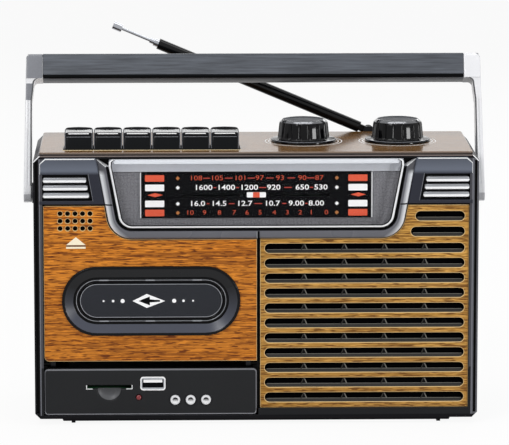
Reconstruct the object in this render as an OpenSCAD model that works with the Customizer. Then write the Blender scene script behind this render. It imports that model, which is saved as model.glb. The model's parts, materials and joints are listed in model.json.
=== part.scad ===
// Portable radio cassette player with a folding handle, in millimetres.
// Front faces -Y, +X is to the right, +Z is up, and z = 0 is the table under the feet.

/* [Cabinet] */
// Width across the front frame
body_w = 256; // [250:1:270]
// Height of the front frame
body_h = 153.7; // [150:0.1:160]
// Depth from the front rim to the rear wall
body_d = 96; // [94:1:106]
// Height of the front frame above the table
stand_h = 3.5; // [2.5:0.1:6]
// Wall thickness of both cabinets
wall = 2.4; // [2:0.1:3]
// Depth of the front cabinet, from the rim to the parting line
front_d = 38; // [36:1:39]
// Corner cut of the front frame
corner_cut = 3.1; // [1:0.1:5]
// Corner cut round the rear wall
rear_cut = 3; // [1:0.1:3.2]
// Thickness of the top cover
cover_t = 1.8; // [1.2:0.1:3]
// Distance from the side of the cabinet to the top cover's edge
cover_margin = 3.3; // [2:0.1:8]
// Width of the antenna trough along the rear edge
trough_w = 8; // [7.6:0.1:9]
// Depth of the antenna trough below the top cover
trough_h = 5.5; // [5.2:0.1:8]
// Height of the plinth below the front frame
plinth_h = 1.6; // [0.8:0.1:2.2]
// Distance from the cabinet's side to the plinth's end
plinth_inset = 14.7; // [8:0.1:30]
// Width of a foot rib
foot_w = 2.2; // [2:0.1:8]
// Length of a foot rib from front to back
foot_d = 22; // [10:1:30]
// Distance from the cabinet's side to a foot
foot_inset = 22; // [18:0.5:40]

/* [Front layout] */
// Width of the frame beside the panels
side_margin = 5.15; // [4.5:0.05:6]
// Width of the frame above and below the panels
edge_margin = 1.8; // [1.2:0.1:2.2]
// Distance of the shadow groove from the frame's outer edge
groove_inset = 1; // [0.6:0.1:1.6]
// Width of the shadow groove
groove_w = 1.5; // [0.8:0.1:2]
// Depth of the shadow groove
groove_d = 2.5; // [1:0.1:4]
// How far the panels lie behind the front rim
panel_recess = 1; // [0.4:0.1:2]
// Thickness of the front panels
panel_t = 2.5; // [2:0.1:3]
// Depth of the ribs behind the speaker panel
rib_t = 2; // [1.6:0.1:3]
// Thickness of the bulkhead behind the panels
bulkhead_t = 2; // [1.6:0.1:3]
// Gap round a fixed panel
fit_gap = 0.2; // [0.1:0.05:0.3]
// Place of the seam between the door and the speaker panel
seam_x = 1.25; // [-4:0.05:4]
// Width of that seam
seam_gap = 1.9; // [1.2:0.1:2.6]
// Height of the media panel
media_h = 27; // [25:0.5:29]
// Dark gap between the media panel and the door
hinge_gap = 4.6; // [4.2:0.1:6]
// Height of the shoulder panels
shoulder_h = 26.2; // [24:0.1:28]
// Gap between the door's top edge and the shoulder panel
door_gap = 1; // [0.6:0.1:1.6]
// Height of the speaker panel's lower edge above the frame's underside
ledge_h = 5.9; // [4:0.1:8]

/* [Dial] */
// Width of the dial bezel at the top
bezel_top_w = 184; // [180:0.5:188]
// Width of the dial bezel at the bottom, before its round corners
bezel_bottom_w = 166; // [162:0.5:170]
// Height of the dial bezel
bezel_h = 46.2; // [45:0.1:48]
// Radius of the bezel's lower corners
bezel_r = 14; // [10:0.5:16]
// How far the bezel stands in front of the rim
bezel_proud = 2.5; // [1:0.1:3.5]
// Width of the lens at the top
lens_top_w = 170.8; // [166:0.1:174]
// Width of the lens at the bottom, before its round corners
lens_bottom_w = 156; // [150:0.1:158]
// Height of the lens
lens_h = 39.7; // [37:0.1:41]
// Radius of the lens's lower corners
lens_r = 8; // [5:0.5:12]
// How far the lens stands in front of the rim
lens_proud = 4; // [3.6:0.1:5]
// Thickness of the lens
lens_t = 3.6; // [2:0.1:3.8]
// Bevel round the lens's front face
lens_bevel = 2.4; // [1:0.1:3]
// Width of the printed dial plate
dial_w = 131.6; // [120:0.1:140]
// Height of the printed dial plate
dial_h = 26.7; // [24:0.1:28]
// Thickness of the printed dial plate
dial_t = 0.8; // [0.5:0.1:1]
// Height of the dial plate's lower edge above the lens's lower edge
dial_rise = 5.1; // [3:0.1:7]
// Distance from the lens's back to the dial plate
dial_gap = 2.6; // [2.2:0.1:2.8]
// Height of the pointer's row above the dial plate's lower edge
pointer_rise = 13.5; // [12:0.1:15]
// Width of the pointer
pointer_w = 11; // [8:0.5:14]
// Height of the pointer
pointer_h = 3; // [2:0.1:4]

/* [Shoulder bars] */
// Number of bars on each side
bar_count = 3; // [1:1:3]
// Height of a bar
bar_h = 2.5; // [2:0.1:3]
// Distance from bar to bar
bar_pitch = 4.45; // [4:0.05:4.6]
// Length of the top bar
bar_len = 24.8; // [15:0.1:26]
// Distance from the shoulder's lower edge to the bottom bar's centre
bar_rise = 5.2; // [4:0.1:6]
// Depth of the recess behind the bars
bar_recess = 2.6; // [1.5:0.1:3.4]

/* [Speaker] */
// Number of long grille slots
slot_count = 11; // [6:1:11]
// Height of a grille slot
slot_h = 5.5; // [3:0.1:6.5]
// Distance from slot to slot
slot_pitch = 8.74; // [8:0.02:8.8]
// Distance from the panel's lower edge to the lowest slot's centre
slot_rise = 6.1; // [5:0.1:8]
// Distance from the panel's sides to the slots
slot_inset = 2.6; // [2:0.1:6]
// Number of ribs behind the slots
rib_count = 4; // [2:1:6]
// Width of those ribs
rib_w = 1.8; // [1:0.1:3]
// Distance from rib to rib
rib_pitch = 23.2; // [16:0.1:24]
// Radius of the loudspeaker's flange
speaker_r = 46; // [40:0.5:46.5]
// Depth of the loudspeaker behind the bulkhead
speaker_d = 32; // [28:1:34]
// Radius of the loudspeaker's magnet
magnet_r = 23; // [15:0.5:30]

/* [Cassette door] */
// Distance from the panels' left edge to the window's centre
window_inset = 62.2; // [60:0.1:63]
// Height of the window's centre above the door's lower edge
window_rise = 35.4; // [33:0.1:38]
// Straight length of the oval window
window_len = 62.4; // [56:0.1:64]
// Outer radius of the oval window bezel
window_r = 20.25; // [17:0.05:21]
// Radius at which the window bezel's slope ends
slope_r = 13.3; // [12:0.1:15]
// Radius of the clear pane's ends
pane_r = 9.9; // [8:0.1:11]
// How far the pane's face lies behind the door's front
pane_sink = 0.6; // [0:0.1:1]
// Thickness of the pane
pane_t = 1.2; // [0.8:0.1:1.4]
// How far the window bezel stands in front of the door
window_proud = 1.3; // [0.6:0.1:2]
// Diameter of a microphone hole
mic_d = 2.8; // [1.5:0.1:3.2]
// Distance between microphone holes
mic_pitch = 4.3; // [4:0.1:4.6]
// Height of the reel hubs above the door's lower edge
hub_rise = 37.4; // [36:0.1:39]
// Distance between the reel hubs
hub_pitch = 42.5; // [42:0.1:43]
// Width of a cassette
cassette_w = 100.4; // [100:0.1:102]
// Height of a cassette
cassette_h = 63.8; // [63:0.1:64.2]
// Thickness of the cassette's place
cassette_t = 12; // [11:0.1:12.6]
// Height of the hubs above the cassette's lower edge
hub_drop = 29.2; // [28.5:0.1:30]
// Radius of the door's hinge pins
door_pin_r = 1.4; // [1:0.1:1.6]

/* [Media panel] */
// Distance from the panel's left edge to the card slot's centre
card_inset = 37.6; // [34:0.1:40]
// Width of the card slot
card_w = 25.8; // [24:0.1:27]
// Height of the card slot
card_h = 1.8; // [1.4:0.1:2.6]
// Height of the card slot's centre above the panel's lower edge
card_rise = 16.5; // [14:0.1:19]
// Radius of the thumb recess under the card slot
thumb_r = 6.8; // [4:0.1:8]
// Distance from the panel's left edge to the USB socket's centre
usb_inset = 62.8; // [60:0.1:66]
// Width of the USB socket's flange
usb_w = 14.4; // [13.6:0.1:15]
// Height of the USB socket's flange
usb_h = 7.6; // [6.6:0.1:8]
// Height of the USB socket's centre above the panel's lower edge
usb_rise = 18.5; // [16:0.1:20]
// Depth of the USB socket
usb_d = 14; // [13.6:0.2:15]
// Diameter of the lamp
led_d = 3; // [2:0.1:4]
// Diameter of a media button
button_d = 5.8; // [4:0.1:6.6]
// Distance from button to button
button_pitch = 8.9; // [8.6:0.1:10]
// Distance from the panel's left edge to the first button
button_inset = 75.7; // [74:0.1:80]
// Height of the buttons above the panel's lower edge
button_rise = 8.8; // [7:0.1:11]
// How far a button stands in front of the panel
button_proud = 1.2; // [1:0.1:2]

/* [Keys] */
// Number of piano keys
key_count = 6; // [6:1:6]
// Distance from key to key
key_pitch = 16.85; // [16:0.05:17]
// Gap between keys
key_gap = 0.6; // [0.4:0.1:1.5]
// Height of the keys above the top cover
key_h = 10.3; // [7:0.1:12]
// Depth of a key from front to back
key_d = 19; // [14:0.5:22]
// Distance from the cabinet's left side to the first key
key_inset = 17.8; // [17:0.1:20]
// Distance from the front rim to the keys
key_setback = 11.6; // [10.5:0.1:13]
// Distance from the keys' front to their shaft
key_reach = 52.4; // [50:0.1:54]
// Drop of the key shaft below the cabinet's top
shaft_drop = 8.2; // [7.6:0.1:9]
// Radius of the key shaft
shaft_r = 1.5; // [1:0.1:2]
// Rounding of a key's upper edges
key_round = 1.8; // [0.6:0.1:2.5]
// Depth of the hollow in a key's top
key_dip = 0.9; // [0.2:0.1:1.4]

/* [Knobs] */
// Distance from the front rim to the knobs' axes
knob_setback = 46; // [45:0.5:50]
// Place of the tuning knob from left to right
tuning_x = 28.7; // [28:0.1:32]
// Place of the volume knob from left to right
volume_x = 83.7; // [80:0.1:88]
// Radius of a knob's fluted body
knob_r = 15.2; // [12:0.1:17]
// Height of a knob above its skirt
knob_h = 10.5; // [8:0.1:16]
// Radius of a knob's skirt
skirt_r = 19; // [17.4:0.1:21]
// Thickness of a knob's skirt
skirt_t = 2.4; // [1.6:0.1:3]
// Number of flutes
flute_count = 20; // [12:1:28]
// Radius of a flute
flute_r = 1.3; // [0.8:0.1:1.6]
// Radius of the knob's shaft
stem_r = 3; // [2:0.1:3.5]
// Radius at which the dial cord runs on the tuning drum
drum_r = 25.2; // [23:0.1:26]

/* [Handle] */
// Distance from the pivot to the grip's centre
handle_len = 75.2; // [72:0.1:80]
// Backward lean of the handle at rest, in degrees
handle_lean = 22; // [20:0.5:23]
// Drop of the pivot below the cabinet's top
pivot_drop = 28.2; // [24:0.1:34]
// Gap between the cabinet's side and the arm
arm_gap = 2.4; // [2.2:0.1:4]
// Thickness of an arm
arm_t = 4.6; // [4.2:0.1:6]
// Width of an arm from front to back
arm_w = 11; // [9:0.1:12]
// Inward taper of the arm over its length
arm_taper = 1.1; // [0:0.1:1.2]
// Height of the grip's section
grip_h = 15; // [12:0.1:17]
// Thickness of the grip's section
grip_t = 12.5; // [10:0.1:13.5]
// Length of a corner cap along the grip
cap_len = 10; // [9:0.1:20]
// Rounding of the grip's long edges
grip_round = 1.2; // [0.5:0.1:2]
// Radius of the handle's pivot
pivot_r = 3; // [2:0.1:3.6]

/* [Antenna] */
// Place of the antenna's pivot from left to right
antenna_x = 69.2; // [60:0.1:80]
// Height of the antenna's pivot above the trough
antenna_rise = 5.3; // [5:0.1:6]
// Rise of the antenna at rest, in degrees
antenna_tilt = 22.8; // [10:0.1:40]
// Radius of the outer tube
tube_r = 3.3; // [2.7:0.1:3.4]
// Distance from the pivot to the outer tube's end
tube_len = 135.8; // [130:0.1:150]
// Radius of the middle section
middle_r = 2.3; // [2:0.05:2.3]
// Radius of the inner section
inner_r = 1.6; // [1.2:0.05:1.6]
// How far the middle section stands out of the outer tube
middle_out = 2.8; // [2:0.1:4]
// How far the inner section stands out of the middle section
inner_out = 2.6; // [2:0.1:4]
// Length of the middle section
middle_len = 106; // [90:0.5:110]
// Length of the inner section
inner_len = 88.6; // [70:0.1:90]
// Radius of the thin rod
rod_r = 0.95; // [0.5:0.05:1.1]
// Distance from the pivot to the antenna's tip
antenna_len = 164.8; // [158:0.1:178]
// Radius of the tip cap
tip_r = 2.4; // [1.5:0.1:2.8]
// Length of the tip cap
tip_len = 5.6; // [3:0.1:8]

/* [Rear and inside] */
// Width of the battery bay
bay_w = 112; // [106:1:113]
// Height of the battery bay
bay_h = 55; // [53:0.5:57]
// Depth of the battery bay
bay_d = 28; // [26:0.5:29]
// Height of the battery bay above the frame's underside
bay_rise = 7; // [5:0.1:8]
// Distance from the cabinet's left side to the battery bay
bay_inset = 20; // [19.5:0.5:21]
// Radius of the flywheel
flywheel_r = 20; // [16:0.5:20.5]
// Radius of the motor pulley
pulley_r = 4; // [2:0.1:5]
// Radius of the tape motor
motor_r = 14; // [10:0.5:15]
// Length of the tape motor
motor_len = 22; // [16:0.5:24]
// Radius of the ferrite rod
ferrite_r = 5; // [4:0.1:5]
// Length of the ferrite rod
ferrite_len = 100; // [60:1:110]
// Width of the transformer's core
core_w = 40; // [30:0.5:44]
// Height of the transformer's core
core_h = 34; // [24:0.5:38]
// Radius of the earphone jack's bore
jack_r = 1.8; // [1.7:0.05:1.9]
// Radius of a cabinet screw
screw_r = 1.5; // [1.2:0.1:1.8]
// Distance from the cabinet's side to a screw
screw_inset = 9.5; // [8:0.1:10]
// Height of the function switch above the frame's underside
function_rise = 66; // [60:0.5:70]
// Distance between the two side switches
switch_pitch = 18; // [16:0.5:22]

/* [Hidden] */
$fn = 64;
eps = 0.5;
// Running clearance between a pin and its bore
run = 0.05;
// Gap between pieces that move past each other
free = 0.3;

// Planes of the cabinet
half_w = body_w / 2;
z0 = stand_h;
z1 = z0 + body_h;
top_z = z1 + cover_t;
front_y = -(body_d + lens_proud) / 2 + lens_proud;
rear_y = (body_d + lens_proud) / 2;
part_y = front_y + front_d;
side_in = half_w - wall;
trough_y = rear_y - trough_w;
trough_z = top_z - trough_h;

// Planes of the front
panel_y = front_y + panel_recess;
panel_back = panel_y + panel_t;
bulk_y0 = panel_back + rib_t;
bulk_y1 = bulk_y0 + bulkhead_t;
panel_x = half_w - side_margin;
pocket_z0 = z0 + edge_margin;
pocket_z1 = z1 - edge_margin;
left_x = -panel_x + fit_gap;
door_x1 = seam_x - seam_gap / 2;
speaker_x0 = seam_x + seam_gap / 2;
speaker_x1 = panel_x - fit_gap;
media_z0 = pocket_z0 + fit_gap;
media_z1 = media_z0 + media_h;
door_z0 = media_z1 + hinge_gap;
shoulder_z1 = pocket_z1 - fit_gap;
shoulder_z0 = shoulder_z1 - shoulder_h;
door_z1 = shoulder_z0 - door_gap;
speaker_z0 = z0 + ledge_h;
shoulder_proud = 0.4;

// Dial
bezel_z1 = pocket_z1 - fit_gap;
bezel_z0 = bezel_z1 - bezel_h;
bezel_y = front_y - bezel_proud;
lens_z0 = bezel_z1 - lens_h;
lens_y = front_y - lens_proud;
lens_back = lens_y + lens_t;
dial_z0 = lens_z0 + dial_rise;
dial_y = lens_back + dial_gap;
floor_y = dial_y + dial_t;
pointer_z = dial_z0 + pointer_rise;
pointer_travel = drum_r * PI / 2;
stem_w = 3;
stem_h = 1.4;
slot_half = pointer_travel + stem_w / 2 + 1;
post_x = 52;
post_r = 2.5;
post_y = bulk_y1 + 5.5;
cord_r = 0.4;
cord_y = post_y - post_r - cord_r - run;

// Door hinge and tape deck
hinge_y = bulk_y0 + 0.5;
hinge_z = door_z0 - hinge_gap / 2 + 0.2;
lug_r = hinge_gap / 2 - 0.2;
lug_w = 2.8;
lug_left = -panel_x + 4;
lug_right = door_x1 - 3.5;
deck_x = -panel_x + window_inset;
window_z = door_z0 + window_rise;
hub_z = door_z0 + hub_rise;
cassette_z0 = hub_z - hub_drop;
cassette_z1 = cassette_z0 + cassette_h;
cassette_y0 = panel_back + 1;
cassette_y1 = cassette_y0 + cassette_t;
deck_y0 = cassette_y1 + 3.5;
deck_y1 = deck_y0 + 1.5;
capstan_r = 1;
capstan_x = deck_x + 19.5;
roller_r = 5;
head_travel = 5;
head_z = cassette_z1 + 2;
roller_z = head_z + roller_r;
capstan_z = roller_z - head_travel - roller_r - capstan_r - eps;
motor_x = deck_x - 36;
motor_z = hub_z - 12.5;
fly_y0 = deck_y1 + 2.5;
fly_d = 6;
motor_y0 = deck_y1 + 14.5;

// Keys
key_y = front_y + key_setback;
key_x0 = -half_w + key_inset;
key_x1 = key_x0 + key_count * key_pitch - key_gap;
key_shaft_y = key_y + key_reach;
key_shaft_z = z1 - shaft_drop;
key_r = norm([key_reach, top_z - key_shaft_z]);
key_clear = 0.4;
eye_r = shaft_r + 2.5;
well_y0 = key_shaft_y - key_r - key_clear;
well_y1 = key_y + key_d + key_clear;

// Knobs and the boards below them
knob_y = front_y + knob_setback;
drum_t = 5;
drum_z = pointer_z - drum_t / 2;
board_z = bezel_z0 + 3;
board_t = 1.6;
capacitor_z = board_z + board_t;
capacitor_h = drum_z - 4 - capacitor_z;

// Media panel places
card_x = left_x + card_inset;
card_z = media_z0 + card_rise;
usb_x = left_x + usb_inset;
usb_z = media_z0 + usb_rise;
usb_back = panel_y + usb_d;
boss_r = screw_r + 3;
media_board_x0 = -half_w + screw_inset + boss_r + 2;
led_x = usb_x - 8.2;
led_z = media_z0 + 10.2;
button_x = left_x + button_inset;
button_z = media_z0 + button_rise;
button_travel = 0.8;

// Speaker places
speaker_x = (speaker_x0 + speaker_x1) / 2;
speaker_z = speaker_z0 + slot_rise + slot_pitch * (slot_count - 1) / 2;
slot_x0 = speaker_x0 + slot_inset;
slot_x1 = speaker_x1 - slot_inset;

// Handle and antenna places
pivot_y = front_y + 46;
pivot_z = z1 - pivot_drop;
arm_x0 = half_w + arm_gap;
arm_x1 = arm_x0 + arm_t;
grip_z = handle_len - grip_h / 2;
grip_x = arm_x1 - arm_taper - cap_len;
antenna_y = (trough_y + rear_y) / 2;
antenna_z = trough_z + antenna_rise;
eye_half = 1.7;
middle_end = tube_len + middle_out - middle_len;
inner_tip = tube_len + middle_out + inner_out;
inner_end = inner_tip - inner_len;

// Rear places
bay_x0 = -half_w + bay_inset;
bay_z0 = z0 + bay_rise;
rear_in = rear_y - wall;
bay_y0 = rear_in - bay_d;
inlet_x = half_w - 28;
inlet_z = z0 + 26;
jack_y = part_y + 30;
jack_z = z0 + 46;
switch_y = part_y + 30;
switch_zs = [z0 + function_rise, z0 + function_rise + switch_pitch];
screw_x = half_w - screw_inset;
screw_places = [for (x = [-screw_x, screw_x], z = [z0 + 8.5, z1 - 9.2]) [x, z]];

// Shared shapes

function arc(cx, cy, r, a0, a1, n = 8) =
    [for (i = [0:n]) [cx + r * cos(a0 + (a1 - a0) * i / n), cy + r * sin(a0 + (a1 - a0) * i / n)]];

// Rectangle with its corners cut at 45 degrees
function cut_rect(x0, y0, x1, y1, c) = [
    [x0 + c, y0], [x1 - c, y0], [x1, y0 + c], [x1, y1 - c],
    [x1 - c, y1], [x0 + c, y1], [x0, y1 - c], [x0, y0 + c]
];

// Rectangle with round corners
function round_rect(x0, y0, x1, y1, r) = concat(
    arc(x1 - r, y0 + r, r, -90, 0), arc(x1 - r, y1 - r, r, 0, 90),
    arc(x0 + r, y1 - r, r, 90, 180), arc(x0 + r, y0 + r, r, 180, 270)
);

function mirrored(points) = [for (i = [len(points) - 1:-1:0]) [-points[i][0], points[i][1]]];

// Right half of an outline with slanting sides and round lower corners
function u_half(top_w, bottom_w, top, bottom, r) =
    let (
        run_x = (top_w - bottom_w) / 2,
        slant = norm([run_x, top - bottom]),
        nx = (top - bottom) / slant,
        nz = -run_x / slant,
        cx = bottom_w / 2 - r * (1 + nz) / nx
    )
    concat(arc(cx, bottom + r, r, -90, atan2(nz, nx)), [[top_w / 2, top]]);

function u_shape(top_w, bottom_w, top, bottom, r) =
    let (half = u_half(top_w, bottom_w, top, bottom, r))
    concat(half, mirrored(half));

// The dial bezel's outline, grown by a gap
function bezel_shape(gap) =
    u_shape(bezel_top_w + 2 * gap, bezel_bottom_w + 2 * gap, bezel_z1 + gap, bezel_z0 - gap, bezel_r);

// The lens's outline, grown by a gap and carried on upwards by a rise
function lens_shape(gap, rise = 0) =
    let (spread = (lens_top_w - lens_bottom_w) / lens_h)
    u_shape(lens_top_w + 2 * gap + spread * rise, lens_bottom_w + 2 * gap - spread * gap,
        bezel_z1 + rise, lens_z0 - gap, lens_r);

// A front view drawn in X and Z, given depth from y0 to y1
module front(y0, y1) {
    translate([0, y1, 0]) rotate([90, 0, 0]) linear_extrude(y1 - y0) children();
}

// A side view drawn in Y and Z, given width from x0 to x1
module side(x0, x1) {
    translate([x0, 0, 0]) rotate([90, 0, 90]) linear_extrude(x1 - x0) children();
}

module box(low, high) {
    translate(low) cube(high - low);
}

module rod_x(y, z, r, x0, x1) {
    translate([x0, y, z]) rotate([0, 90, 0]) cylinder(r = r, h = x1 - x0);
}

module rod_y(x, z, r, y0, y1) {
    translate([x, y1, z]) rotate([90, 0, 0]) cylinder(r = r, h = y1 - y0);
}

module rod_z(x, y, r, low, high) {
    translate([x, y, low]) cylinder(r = r, h = high - low);
}

// A slot with round ends, cut through from y0 to y1
module slot_cut(x0, x1, z, h, y0, y1) {
    box([x0 + h / 2, y0, z - h / 2], [x1 - h / 2, y1, z + h / 2]);
    rod_y(x0 + h / 2, z, h / 2, y0, y1);
    rod_y(x1 - h / 2, z, h / 2, y0, y1);
}

// The window's oval, with end radius r
module oval(r, y0, y1) {
    slot_cut(deck_x - window_len / 2 - r, deck_x + window_len / 2 + r, window_z, 2 * r, y0, y1);
}

// Casings

module front_cabinet() {
    color("#3b3c42") difference() {
        union() {
            difference() {
                front(front_y, part_y) polygon(cut_rect(-half_w, z0, half_w, z1, corner_cut));
                front(bulk_y1, part_y + eps)
                    polygon(cut_rect(-side_in, z0 + wall, side_in, z1 - wall, corner_cut));
                panel_pocket();
                shadow_groove();
            }
            speaker_ribs();
            cabinet_base(front_y + 2, part_y, front_y + 6);
            cord_posts();
            front_bosses();
            door_pins();
        }
        // Opening for the cassette and its holder
        box([lug_left - 2, bulk_y0 - eps, media_z1 + 0.1],
            [door_x1 - 1.8, bulk_y1 + eps, cassette_z1 + 1.4]);
        // Opening behind the media panel
        box([media_board_x0, bulk_y0 - eps, media_z0 + 3], [door_x1 - 5, bulk_y1 + eps, media_z1 - 2.5]);
        rod_y(speaker_x, speaker_z, speaker_r - 4, bulk_y0 + run, bulk_y1 + eps);
        // Window for the pointer
        box([-slot_half - 3, bulk_y0 - eps, pointer_z - 4], [slot_half + 3, bulk_y1 + eps, pointer_z + 4]);
        key_well(z1 - wall - eps, z1 + eps);
    }
}

module panel_pocket() {
    box([-panel_x, front_y - eps, pocket_z0], [seam_x, bulk_y0, speaker_z0]);
    box([-panel_x, front_y - eps, speaker_z0 - fit_gap], [panel_x, bulk_y0, shoulder_z0]);
    front(front_y - eps, bulk_y0)
        polygon(cut_rect(-panel_x, shoulder_z0 - 10, panel_x, pocket_z1, corner_cut));
}

module shadow_groove() {
    outer = groove_inset;
    inner = groove_inset + groove_w;
    for (s = [-1, 1])
        box([min(s * (half_w - outer), s * (half_w - inner)), front_y - eps, z0 + corner_cut],
            [max(s * (half_w - outer), s * (half_w - inner)), front_y + groove_d, z1 - corner_cut]);
}

// Ribs behind the grille slots, from the bulkhead to the speaker panel
module speaker_ribs() {
    for (i = [0:rib_count - 1]) {
        x = speaker_x + (i - (rib_count - 1) / 2) * rib_pitch;
        box([x - rib_w / 2, panel_back, speaker_z0 + 1],
            [x + rib_w / 2, bulk_y0 + bulkhead_t / 2, bezel_z0 - 2]);
    }
}

// Plinth and foot ribs under one half of the cabinet
module cabinet_base(y0, y1, foot_y) {
    front(y0, y1) polygon([
        [-half_w + plinth_inset, z0 + wall / 2], [-half_w + plinth_inset + plinth_h, z0 - plinth_h],
        [half_w - plinth_inset - plinth_h, z0 - plinth_h], [half_w - plinth_inset, z0 + wall / 2]
    ]);
    for (s = [-1, 1])
        translate([s * (half_w - foot_inset), 0, 0])
            box([-foot_w / 2, foot_y, 0], [foot_w / 2, foot_y + foot_d, z0]);
}

// Two posts that lead the dial cord along the front
module cord_posts() {
    for (s = [-1, 1]) {
        box([s * post_x - 3, bulk_y1 - 1, pointer_z - 4.5], [s * post_x + 3, post_y + 3, pointer_z - 2.5]);
        rod_z(s * post_x, post_y, post_r, pointer_z - 2.6, pointer_z + 2);
    }
}

module front_bosses() {
    for (p = screw_places) difference() {
        rod_y(p[0], p[1], boss_r, bulk_y1 - 1, part_y);
        rod_y(p[0], p[1], screw_r + run, part_y - 12, part_y + eps);
    }
}

// Pins on which the cassette door turns, and the ear that carries the inner one
module door_pins() {
    rod_x(hinge_y, hinge_z, door_pin_r, -side_in - 1, lug_left + lug_w - free);
    rod_x(hinge_y, hinge_z, door_pin_r, lug_right - lug_w + free, door_x1 + 2);
    box([door_x1 + 0.2, hinge_y - 2.4, media_z1 + 0.3], [door_x1 + 3.4, bulk_y1, door_z0 - 0.3]);
}

module key_well(low, high) {
    box([key_x0 - key_clear, well_y0, low], [key_x1 + key_clear, well_y1, high]);
}

module rear_cabinet() {
    color("#35363b") difference() {
        union() {
            difference() {
                intersection() {
                    front(part_y, rear_y) polygon(cut_rect(-half_w, z0, half_w, z1, corner_cut));
                    side(-half_w, half_w) polygon([
                        [part_y, z0], [rear_y - rear_cut, z0], [rear_y, z0 + rear_cut],
                        [rear_y, trough_z - 1], [rear_y - 1, trough_z], [trough_y, trough_z],
                        [trough_y, z1], [part_y, z1]
                    ]);
                    linear_extrude(z1 + 1) polygon([
                        [-half_w, part_y], [half_w, part_y], [half_w, rear_y - rear_cut],
                        [half_w - rear_cut, rear_y], [-half_w + rear_cut, rear_y],
                        [-half_w, rear_y - rear_cut]
                    ]);
                }
                intersection() {
                    front(part_y - eps, rear_in)
                        polygon(cut_rect(-side_in, z0 + wall, side_in, z1 - wall, corner_cut));
                    side(-side_in, side_in) polygon([
                        [part_y - eps, z0 + wall], [rear_in, z0 + wall], [rear_in, trough_z - wall],
                        [trough_y - wall, trough_z - wall], [trough_y - wall, z1 - wall],
                        [part_y - eps, z1 - wall]
                    ]);
                }
            }
            cabinet_base(part_y, rear_y - 4, rear_y - 8 - foot_d);
            board_ledges();
            for (p = screw_places)
                rod_y(p[0], p[1], screw_r + 3.5, part_y, rear_y);
            for (s = [-1, 1])
                handle_boss(s);
        }
        // Battery bay, mains inlet and side openings
        box([bay_x0, rear_in - eps, bay_z0], [bay_x0 + bay_w, rear_y + eps, bay_z0 + bay_h]);
        box([inlet_x - 10, rear_in - eps, inlet_z - 7], [inlet_x + 10, rear_y + eps, inlet_z + 7]);
        rod_x(jack_y, jack_z, 4 + run, side_in - eps, half_w + eps);
        for (z = switch_zs)
            box([side_in - eps, switch_y - 7, z - 1.8], [half_w + eps, switch_y + 7, z + 1.8]);
        for (x = [tuning_x, volume_x])
            rod_z(x, knob_y, stem_r + 1, z1 - wall - eps, z1 + eps);
        for (p = screw_places) {
            rod_y(p[0], p[1], screw_r + 0.15, part_y - eps, rear_y + eps);
            rod_y(p[0], p[1], screw_r + 1.9, part_y + 5, rear_y + eps);
        }
    }
}

module board_ledges() {
    box([half_w - wall - 10, part_y + 8, board_z - 2], [side_in + 0.2, part_y + 44, board_z]);
    box([speaker_x0 - 2, rear_in - 14, board_z - 2], [speaker_x0 + 6, rear_in + 0.2, board_z]);
}

// Shoulder and pin on which a handle arm turns
module handle_boss(s) {
    mirror([s < 0 ? 1 : 0, 0, 0]) {
        rod_x(pivot_y, pivot_z, pivot_r + 3, half_w - 1, arm_x0 - free);
        rod_x(pivot_y, pivot_z, pivot_r, half_w - 1, arm_x0 + arm_t - 1.8);
    }
}

module top_cover() {
    round_y = 1.5;
    y0 = front_y + 0.6;
    color("#8c5a30") difference() {
        intersection() {
            side(-half_w + cover_margin, half_w - cover_margin) polygon(concat(
                [[y0, z1], [trough_y, z1], [trough_y, top_z]],
                arc(y0 + round_y, top_z - round_y, round_y, 90, 180)
            ));
            linear_extrude(top_z + 1) polygon(round_rect(
                -half_w + cover_margin, y0, half_w - cover_margin, trough_y, 2));
        }
        key_well(z1 - eps, top_z + eps);
        for (x = [tuning_x, volume_x])
            rod_z(x, knob_y, stem_r + run, z1 - eps, top_z + eps);
    }
}

// Shoulder panels beside the dial

// Inner edge of the right shoulder at a height
function shoulder_in(z) =
    (bezel_bottom_w / 2) + (bezel_top_w - bezel_bottom_w) / 2 * (z - bezel_z0) / bezel_h + 2 * fit_gap;

module shoulder_panels() {
    y0 = front_y - shoulder_proud;
    x1 = panel_x - fit_gap;
    cut = corner_cut;
    color("#5d6470") for (m = [0, 1]) mirror([m, 0, 0]) difference() {
        front(y0, bulk_y0) polygon([
            [shoulder_in(shoulder_z0), shoulder_z0], [x1, shoulder_z0], [x1, shoulder_z1 - cut],
            [x1 - cut, shoulder_z1], [shoulder_in(shoulder_z1) + cut, shoulder_z1],
            [shoulder_in(shoulder_z1 - 2 * cut), shoulder_z1 - 2 * cut]
        ]);
        front(y0 - eps, y0 + bar_recess) bar_field(1.9);
    }
}

// The recess round the bars, which widens downwards with the dial's slant
module bar_field(margin) {
    x1 = panel_x - fit_gap - 0.2;
    low = shoulder_z0 + bar_rise - bar_h / 2 - margin;
    high = shoulder_z0 + bar_rise + (bar_count - 1) * bar_pitch + bar_h / 2 + margin;
    slant = (bezel_top_w - bezel_bottom_w) / 2 / bezel_h;
    polygon([
        [x1 - bar_len - 1.6 - slant * (high - low), low], [x1 + eps, low],
        [x1 + eps, high], [x1 - bar_len - 1.6, high]
    ]);
}

module shoulder_bars() {
    y0 = front_y - shoulder_proud - 0.3;
    x1 = panel_x - fit_gap - 0.2;
    slant = (bezel_top_w - bezel_bottom_w) / 2 / bezel_h;
    color("#d8dade") for (m = [0, 1], i = [0:bar_count - 1]) mirror([m, 0, 0]) {
        z = shoulder_z0 + bar_rise + i * bar_pitch;
        length = bar_len + slant * bar_pitch * (bar_count - 1 - i);
        side(x1 - length, x1) polygon(concat(
            [[y0 + bar_recess + 0.3, z - bar_h / 2], [y0 + bar_recess + 0.3, z + bar_h / 2]],
            arc(y0 + 1, z + bar_h / 2 - 1, 1, 90, 180, 4),
            arc(y0 + 1, z - bar_h / 2 + 1, 1, 180, 270, 4)
        ));
    }
}

// Dial

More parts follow.
